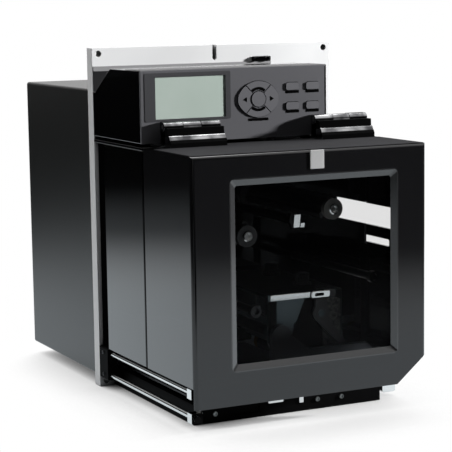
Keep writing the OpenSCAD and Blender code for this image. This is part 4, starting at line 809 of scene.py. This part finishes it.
# %% [markdown]
# ## Wear plates, rod caps, hinge shields and leaf covers
# The sliding guide has a dark wear plate round each rod and a strip between them, and each rod ends in a
# black cap. Behind each hinge barrel a soft shield closes the gap to the bracket, and the moving leaf has
# dark covers on its foot and back, so only two bright bars show. Darker metal alone would still mirror the
# ground. Each hinge piece is one profile carried along the hinge, clear of the barrel that turns beside it.

# %% Guide wear plates and rod caps
ROD_BORE, WEAR_HEIGHT, WEAR_CORNER, WEAR_THICK = 5.2, 8.2, 0.8, 0.6
WEAR_NARROWER, WEAR_SPOT = 0.4, 1.5
LINK_WIDTH, LINK_EDGES = 1.5, (0.2, WEAR_THICK, 0.15)
ROD_CAP_PROFILE = ((2.5, -1.2), (2.5, 0.6), (2.2, 0.9))

guide_low, guide_high = box_mm("media_guide")
rod_low, rod_high = box_mm("guide_rods")
rod_x, rod_radius = (rod_low.x + rod_high.x) / 2, (rod_high.x - rod_low.x) / 2
rod_heights = (rod_low.z + rod_radius, rod_high.z - rod_radius)
wear_middle = (guide_low.x + guide_high.x) / 2
wear_width = guide_high.x - guide_low.x - WEAR_NARROWER
wear_shape = bmesh.new()
caps_shape = bmesh.new()
for rod_z in rod_heights:
    wear_place, wear_out = front_seat("media_guide", guide_high.x - WEAR_SPOT, rod_z)
    wear_place.x = wear_middle * MM
    add_frame(wear_shape, standing(wear_place, wear_out), (wear_width, WEAR_HEIGHT, WEAR_CORNER),
              (ROD_BORE, ROD_BORE, ROD_BORE / 2), (rod_x - wear_middle, 0), WEAR_THICK)
    add_turned(caps_shape, standing(Vector((rod_x, rod_low.y, rod_z)) * MM, FORWARDS), ROD_CAP_PROFILE)
link_seat = front_seat("media_guide", guide_high.x - LINK_WIDTH / 2, (rod_low.z + rod_high.z) / 2)
link_height = rod_heights[1] - rod_heights[0] - WEAR_HEIGHT
add_plate(wear_shape, standing(*link_seat), LINK_WIDTH, link_height, *LINK_EDGES)
make_piece("guide_wear_plates", wear_shape, MARK_BLACK, "media_guide")
make_piece("rod_caps", caps_shape, MARK_BLACK)
print("wear plates", round(wear_width, 1), "mm wide")

# %% Hinge shields and leaf covers
# Profiles in Y and Z: shield and riser about the hinge pin's axis, skirt about the leaf's lower front edge
SHIELD = [(-3.3, -13.1), (3.25, -13.1), (3.25, -4.5), (0.5, -4.3), (-3.3, -7.1)]
RISER = [(-10.9, -7.3), (-10.5, -0.7), (-4.7, -0.7), (-4.7, -7.3)]
SKIRT = [(0.1, 0.1), (-0.3, 0.1), (-0.3, 4.1), (1.1, 6.5), (1.5, 6.3), (0.1, 3.9)]
SHIELD_GAP, COVER_GAP = 0.2, 0.1
FIXED_KNUCKLES = (0, 2)


def add_carried(shape, profile, origin, start, end):
    """A profile about an origin, carried along X from start to end."""
    points = [(origin.y + y, origin.z + z) for y, z in profile]
    stack_rings(shape, IN_PLACE, [[(x, y, z) for y, z in points] for x in (start, end)])


hinge_axis = sum(box_mm("hinge_pins"), Vector()) / 2
shield_shape = bmesh.new()
cover_shape = bmesh.new()
for hinge_x in hinge_starts:
    for third in FIXED_KNUCKLES:
        start = hinge_x + third * KNUCKLE
        add_carried(shield_shape, SHIELD, hinge_axis, start + SHIELD_GAP, start + KNUCKLE - SHIELD_GAP)
    for profile, origin in ((SKIRT, leaf_low), (RISER, hinge_axis)):
        add_carried(cover_shape, profile, origin, hinge_x + COVER_GAP, hinge_x + HINGE_WIDTH - COVER_GAP)
make_piece("hinge_shields", shield_shape, FOAM)
make_piece("leaf_skirts", cover_shape, MARK_BLACK, "door")
print("hinge pins at", in_mm(hinge_axis * MM))

# %% [markdown]
# ## Door seals, liner skirt and brush
# Three soft things keep light and dust out. Lip seals bridge the seam between the door and the side panels,
# a black skirt covers the bright plate under the liner, and an antistatic brush hangs over the label exit. A
# dark plane could hide each gap, but the door swings past the seals. So they are one L-shaped profile
# carried up, with a lip that clears the door, and the brush is a row of tapered bristles.

# %% Seals and skirt
SEAL_FOOT, SEAL_LIP, SEAL_CLEAR, SEAL_THICK, SEAL_STEP = 4.5, 6.2, 0.3, 1.4, 0.5
SEAL_SPOT = (6, 120)
# Side panel, way from the middle to it, way back, and the lower and upper end of each seal
SEALS = (
    ("right_side_panel", RIGHTWARDS, -1, ((40, 126), (164, 214))),
    ("left_side_panel", LEFTWARDS, 1, ((40, 214),)),
)
SKIRT_MIDDLE, SKIRT_SIZE = (-33.2, 33.6), (133, 12.4, 0.8, 1.2, 0.3)

seam_y = box_mm("right_side_panel")[0].y
shape = bmesh.new()
for panel, direction, inward, spans in SEALS:
    wall_x = seat_on(panel, (0, seam_y + SEAL_SPOT[0], SEAL_SPOT[1]), direction)[0].x / MM
    back_x, lip_x, inner_x = (wall_x + inward * off for off in (-SUNK, SEAL_CLEAR, SEAL_THICK))
    profile = [(back_x, seam_y + SEAL_FOOT), (back_x, seam_y + SEAL_STEP), (lip_x, seam_y + SEAL_STEP),
               (lip_x, seam_y - SEAL_LIP), (inner_x, seam_y - SEAL_LIP), (inner_x, seam_y + SEAL_FOOT)]
    for span in spans:
        stack_rings(shape, IN_PLACE, [[(x, y, z) for x, y in profile] for z in span])
make_piece("door_seals", shape, FOAM)

skirt_seat = front_seat("main_plate", *SKIRT_MIDDLE)
seated_plate("liner_skirt", skirt_seat, SKIRT_SIZE, MARK_BLACK)
print("seals at y", round(seam_y, 1), "and skirt at", in_mm(skirt_seat[0]))

# %% Antistatic brush
BRUSH_START, BRUSH_END, BRUSH_Z = -86.0, 8.0, 41.2
BRUSH_HEIGHT, BRUSH_EDGES = 5, (0.6, 1.6, 0.3)
BRISTLE_STEP, BRISTLE_IN = 1.0, 0.8
# Width, depth, corner radius and height at the tip and at the root
BRISTLE = ((0.9, 0.94, 0.1, 31.5), (1.1, 0.97, 0.1, 39.5))

brush_length = BRUSH_END - BRUSH_START
brush_seat = seat_on("right_side_panel", (0, (BRUSH_START + BRUSH_END) / 2, BRUSH_Z), RIGHTWARDS)
shape = bmesh.new()
add_plate(shape, standing(*brush_seat), brush_length, BRUSH_HEIGHT, *BRUSH_EDGES)
bristle_x = brush_seat[0].x / MM - BRISTLE_IN
bristles = int(brush_length / BRISTLE_STEP) - 1
for bristle in range(bristles):
    bristle_y = BRUSH_START + (bristle + 1) * BRISTLE_STEP
    root = Matrix.Translation(Vector((bristle_x, bristle_y, 0)) * MM)
    stack_rings(shape, root, [plate_ring(*ring) for ring in BRISTLE])
make_piece("exit_brush", shape, FOAM)
print("a brush of", bristles, "bristles")

# %% [markdown]
# ## The white sweep
# The product stands on a white sweep. Black gloss shows what surrounds it, so in reflections the sweep is
# bright near the object and falls off: the black panels are pale at the foot and deep black at the top. Two
# weaker glows on the left carry that light further, and reflections see it a little cool. An evenly white
# floor would whiten every panel. The shade round the foot comes from how much of the object stands over the
# floor, so it needs no lamp.

# %% Helpers for the studio
def combine(tree, operation, first, second, clamp=False):
    """Two factors put through one of the Math node's operations."""
    values = {"operation": operation, "use_clamp": clamp}
    return add_node(tree, "Math", values, {0: first, 1: second}).outputs[0]


def work_vector(tree, operation, vector, other=(0, 0, 0), result="Value"):
    """What a VectorMath node makes of a vector and a constant."""
    return add_node(tree, "VectorMath", {"operation": operation, 1: other}, {0: vector}).outputs[result]


def shown_rays(tree, gloss_share):
    """1 for the camera and for what is seen through glass, and a share of it for reflections."""
    rays = add_node(tree, "LightPath")
    gloss = combine(tree, "MULTIPLY", rays.outputs["Is Glossy Ray"], gloss_share)
    direct = combine(tree, "MAXIMUM", rays.outputs["Is Camera Ray"], rays.outputs["Is Transmission Ray"])
    return combine(tree, "MAXIMUM", direct, gloss)


def show_mix(tree, output, share, dim, bright):
    """Two shaders mixed by a share and joined to the tree's output."""
    mix = add_node(tree, "MixShader", {}, {0: share, 1: dim.outputs[0], 2: bright.outputs[0]})
    tree.links.new(mix.outputs[0], output.inputs["Surface"])


def studio_plane(name, corners, finish):
    """A plane with four corners that belongs to the studio."""
    mesh = bpy.data.meshes.new(name)
    mesh.from_pydata(corners, [], [(0, 1, 2, 3)])
    mesh.materials.append(finish)
    plane = bpy.data.objects.new(name, mesh)
    scene.collection.objects.link(plane)
    return plane


print("studio helpers ready")

# %% Floor
FLOOR_REACH, FLOOR_DROP = 6.0, 0.0002
NEAR_FLOOR, FAR_FLOOR = 0.35, 1.12
NEAR_TONE, FAR_TONE = (0.55, 0.55, 0.55), (0.004, 0.004, 0.004)
# Each glow's middle on the floor, its reach and its share of white
GLOWS = (((-0.50, 0.85, 0), 0.75, 0.15), ((-0.35, -1.15, 0), 0.80, 0.60))
SHADE_REACH, SHADE_SAMPLES, SHADE_CORE, SHADE_RIM = 0.11, 16, 0.15, 0.80
LIGHT_LEAN = (0, 0.75, 0)
WHITE, COOL_WHITE = (1, 1, 1), (0.87, 0.95, 1.0)

floor_finish, tree, shader = new_finish("floor_white")
floor_spot = add_node(tree, "TexCoord").outputs["Object"]
far = work_vector(tree, "LENGTH", floor_spot)
near = spread(tree, far, 1.0, 0.0, NEAR_FLOOR, FAR_FLOOR, "SMOOTHSTEP")
mirrored = near
for glow_place, glow_reach, glow_share in GLOWS:
    aside = work_vector(tree, "DISTANCE", floor_spot, glow_place)
    glow = spread(tree, aside, glow_share, 0.0, 0.0, glow_reach, "SMOOTHSTEP")
    mirrored = combine(tree, "ADD", mirrored, glow, clamp=True)
floor_tone = blend_colours(tree, near, FAR_TONE, NEAR_TONE)
tree.links.new(floor_tone, shader.inputs["Base Color"])
set_values(shader, Roughness=0.9, Specular_IOR_Level=0.0)

in_gloss = add_node(tree, "LightPath").outputs["Is Glossy Ray"]
floor_shine = blend_colours(tree, in_gloss, WHITE, COOL_WHITE)
white_floor = add_node(tree, "Emission", {"Strength": 1.0}, {"Color": floor_shine})
floor_up = add_node(tree, "NewGeometry").outputs["Normal"]
lit_way = work_vector(tree, "ADD", floor_up, LIGHT_LEAN, "Vector")
lit_way = work_vector(tree, "NORMALIZE", lit_way, result="Vector")
shade_values = {"Distance": SHADE_REACH, "samples": SHADE_SAMPLES}
floor_open = add_node(tree, "AmbientOcclusion", shade_values, {"Normal": lit_way}).outputs["AO"]
unshaded = spread(tree, floor_open, 0.0, 1.0, SHADE_CORE, SHADE_RIM)
floor_share = combine(tree, "MULTIPLY", shown_rays(tree, mirrored), unshaded)
show_mix(tree, tree.nodes["Material Output"], floor_share, shader, white_floor)

floor_corners = [(FLOOR_REACH * x, FLOOR_REACH * y, 0) for x, y in ((-1, -1), (1, -1), (1, 1), (-1, 1))]
floor = studio_plane("floor", floor_corners, floor_finish)
floor.location.z = cad_low.z - FLOOR_DROP
print("floor at z", round(floor.location.z, 5))

# %% [markdown]
# ## Flag, lamps and room
# One lamp, low and far to the right, grazes the panel and throws the hinges' slanting shadows across it. A
# soft light above fills the tops, and a faint one behind on the left touches the plate's edge. The room is
# white to the camera, but to reflections only above and straight behind, and a grey flag beside the plate
# keeps even that out of the door's top, as a studio's black card does.

# %% Flag beside the plate
FLAG_LEFT, FLAG_RIGHT, FLAG_Y, FLAG_LOW, FLAG_HIGH = 0.122, 0.50, 0.045, 0.222, 0.32
FLAG_TONE, FLAG_GLOW = (0.02, 0.02, 0.02, 1), (0.10, 0.10, 0.10, 1)

flag_finish, _, shader = new_finish("flag_grey")
set_values(shader, Base_Color=FLAG_TONE, Roughness=1.0, Emission_Color=FLAG_GLOW, Emission_Strength=1.0)
flag_corners = [(FLAG_LEFT, FLAG_Y, FLAG_LOW), (FLAG_RIGHT, FLAG_Y, FLAG_LOW),
                (FLAG_RIGHT, FLAG_Y, FLAG_HIGH), (FLAG_LEFT, FLAG_Y, FLAG_HIGH)]
flag = studio_plane("flag", flag_corners, flag_finish)
flag.visible_camera = False
flag.visible_diffuse = False
flag.visible_shadow = False
flag.visible_transmission = False
print("flag seen only in reflections")

# %% Lamps
# Name, place, aim, side of the square, power and whether reflections show it
LAMPS = (
    ("key_right", (2.90, -0.83, 0.84), (0, -0.05, 0.2), 0.20, 345, False),
    ("top_soft", (0.25, 0.35, 1.6), (0, -0.1, 0.0), 1.0, 16, True),
    ("rim_left", (-1.2, 0.75, 0.35), (-0.118, 0.02, 0.15), 0.5, 6.5, False),
)
for name, place, aim, side, power, in_reflections in LAMPS:
    lamp = bpy.data.lights.new(name, "AREA")
    lamp.shape = "SQUARE"
    lamp.size = side
    lamp.energy = power
    holder = bpy.data.objects.new(name, lamp)
    holder.location = place
    holder.rotation_euler = (Vector(aim) - Vector(place)).to_track_quat("-Z", "Y").to_euler()
    holder.visible_glossy = in_reflections
    scene.collection.objects.link(holder)
    print(name, power, "W")

# %% Room
BACKDROP_WAY, BACKDROP_START, BACKDROP_FULL = (0.44, 0.90, 0.0), 0.70, 0.92
CEILING_START, CEILING_FULL = 0.25, 0.75
LOW_ROOM, HIGH_ROOM = (0.005, 0.005, 0.0055), (0.08, 0.08, 0.083)

world = bpy.data.worlds.new("studio")
scene.world = world
world.use_nodes = True
tree = world.node_tree
tree.nodes.clear()
world_output = tree.nodes.new("ShaderNodeOutputWorld")
sky_spot = add_node(tree, "TexCoord").outputs["Generated"]
sky_height = add_node(tree, "SeparateXYZ", {}, {0: sky_spot}).outputs["Z"]
above = spread(tree, sky_height, 0.0, 1.0, CEILING_START, CEILING_FULL)
ahead = work_vector(tree, "DOT_PRODUCT", sky_spot, BACKDROP_WAY)
backdrop = spread(tree, ahead, 0.0, 1.0, BACKDROP_START, BACKDROP_FULL)
room = blend_colours(tree, above, LOW_ROOM, HIGH_ROOM)
room_light = add_node(tree, "Background", {"Strength": 1.0}, {"Color": room})
white_room = add_node(tree, "Background", {"Color": (*WHITE, 1), "Strength": 1.0})
room_share = shown_rays(tree, combine(tree, "MAXIMUM", above, backdrop))
show_mix(tree, world_output, room_share, room_light, white_room)
scene.view_settings.view_transform = "Standard"
print("room:", world.name, "with", len(tree.nodes), "nodes")
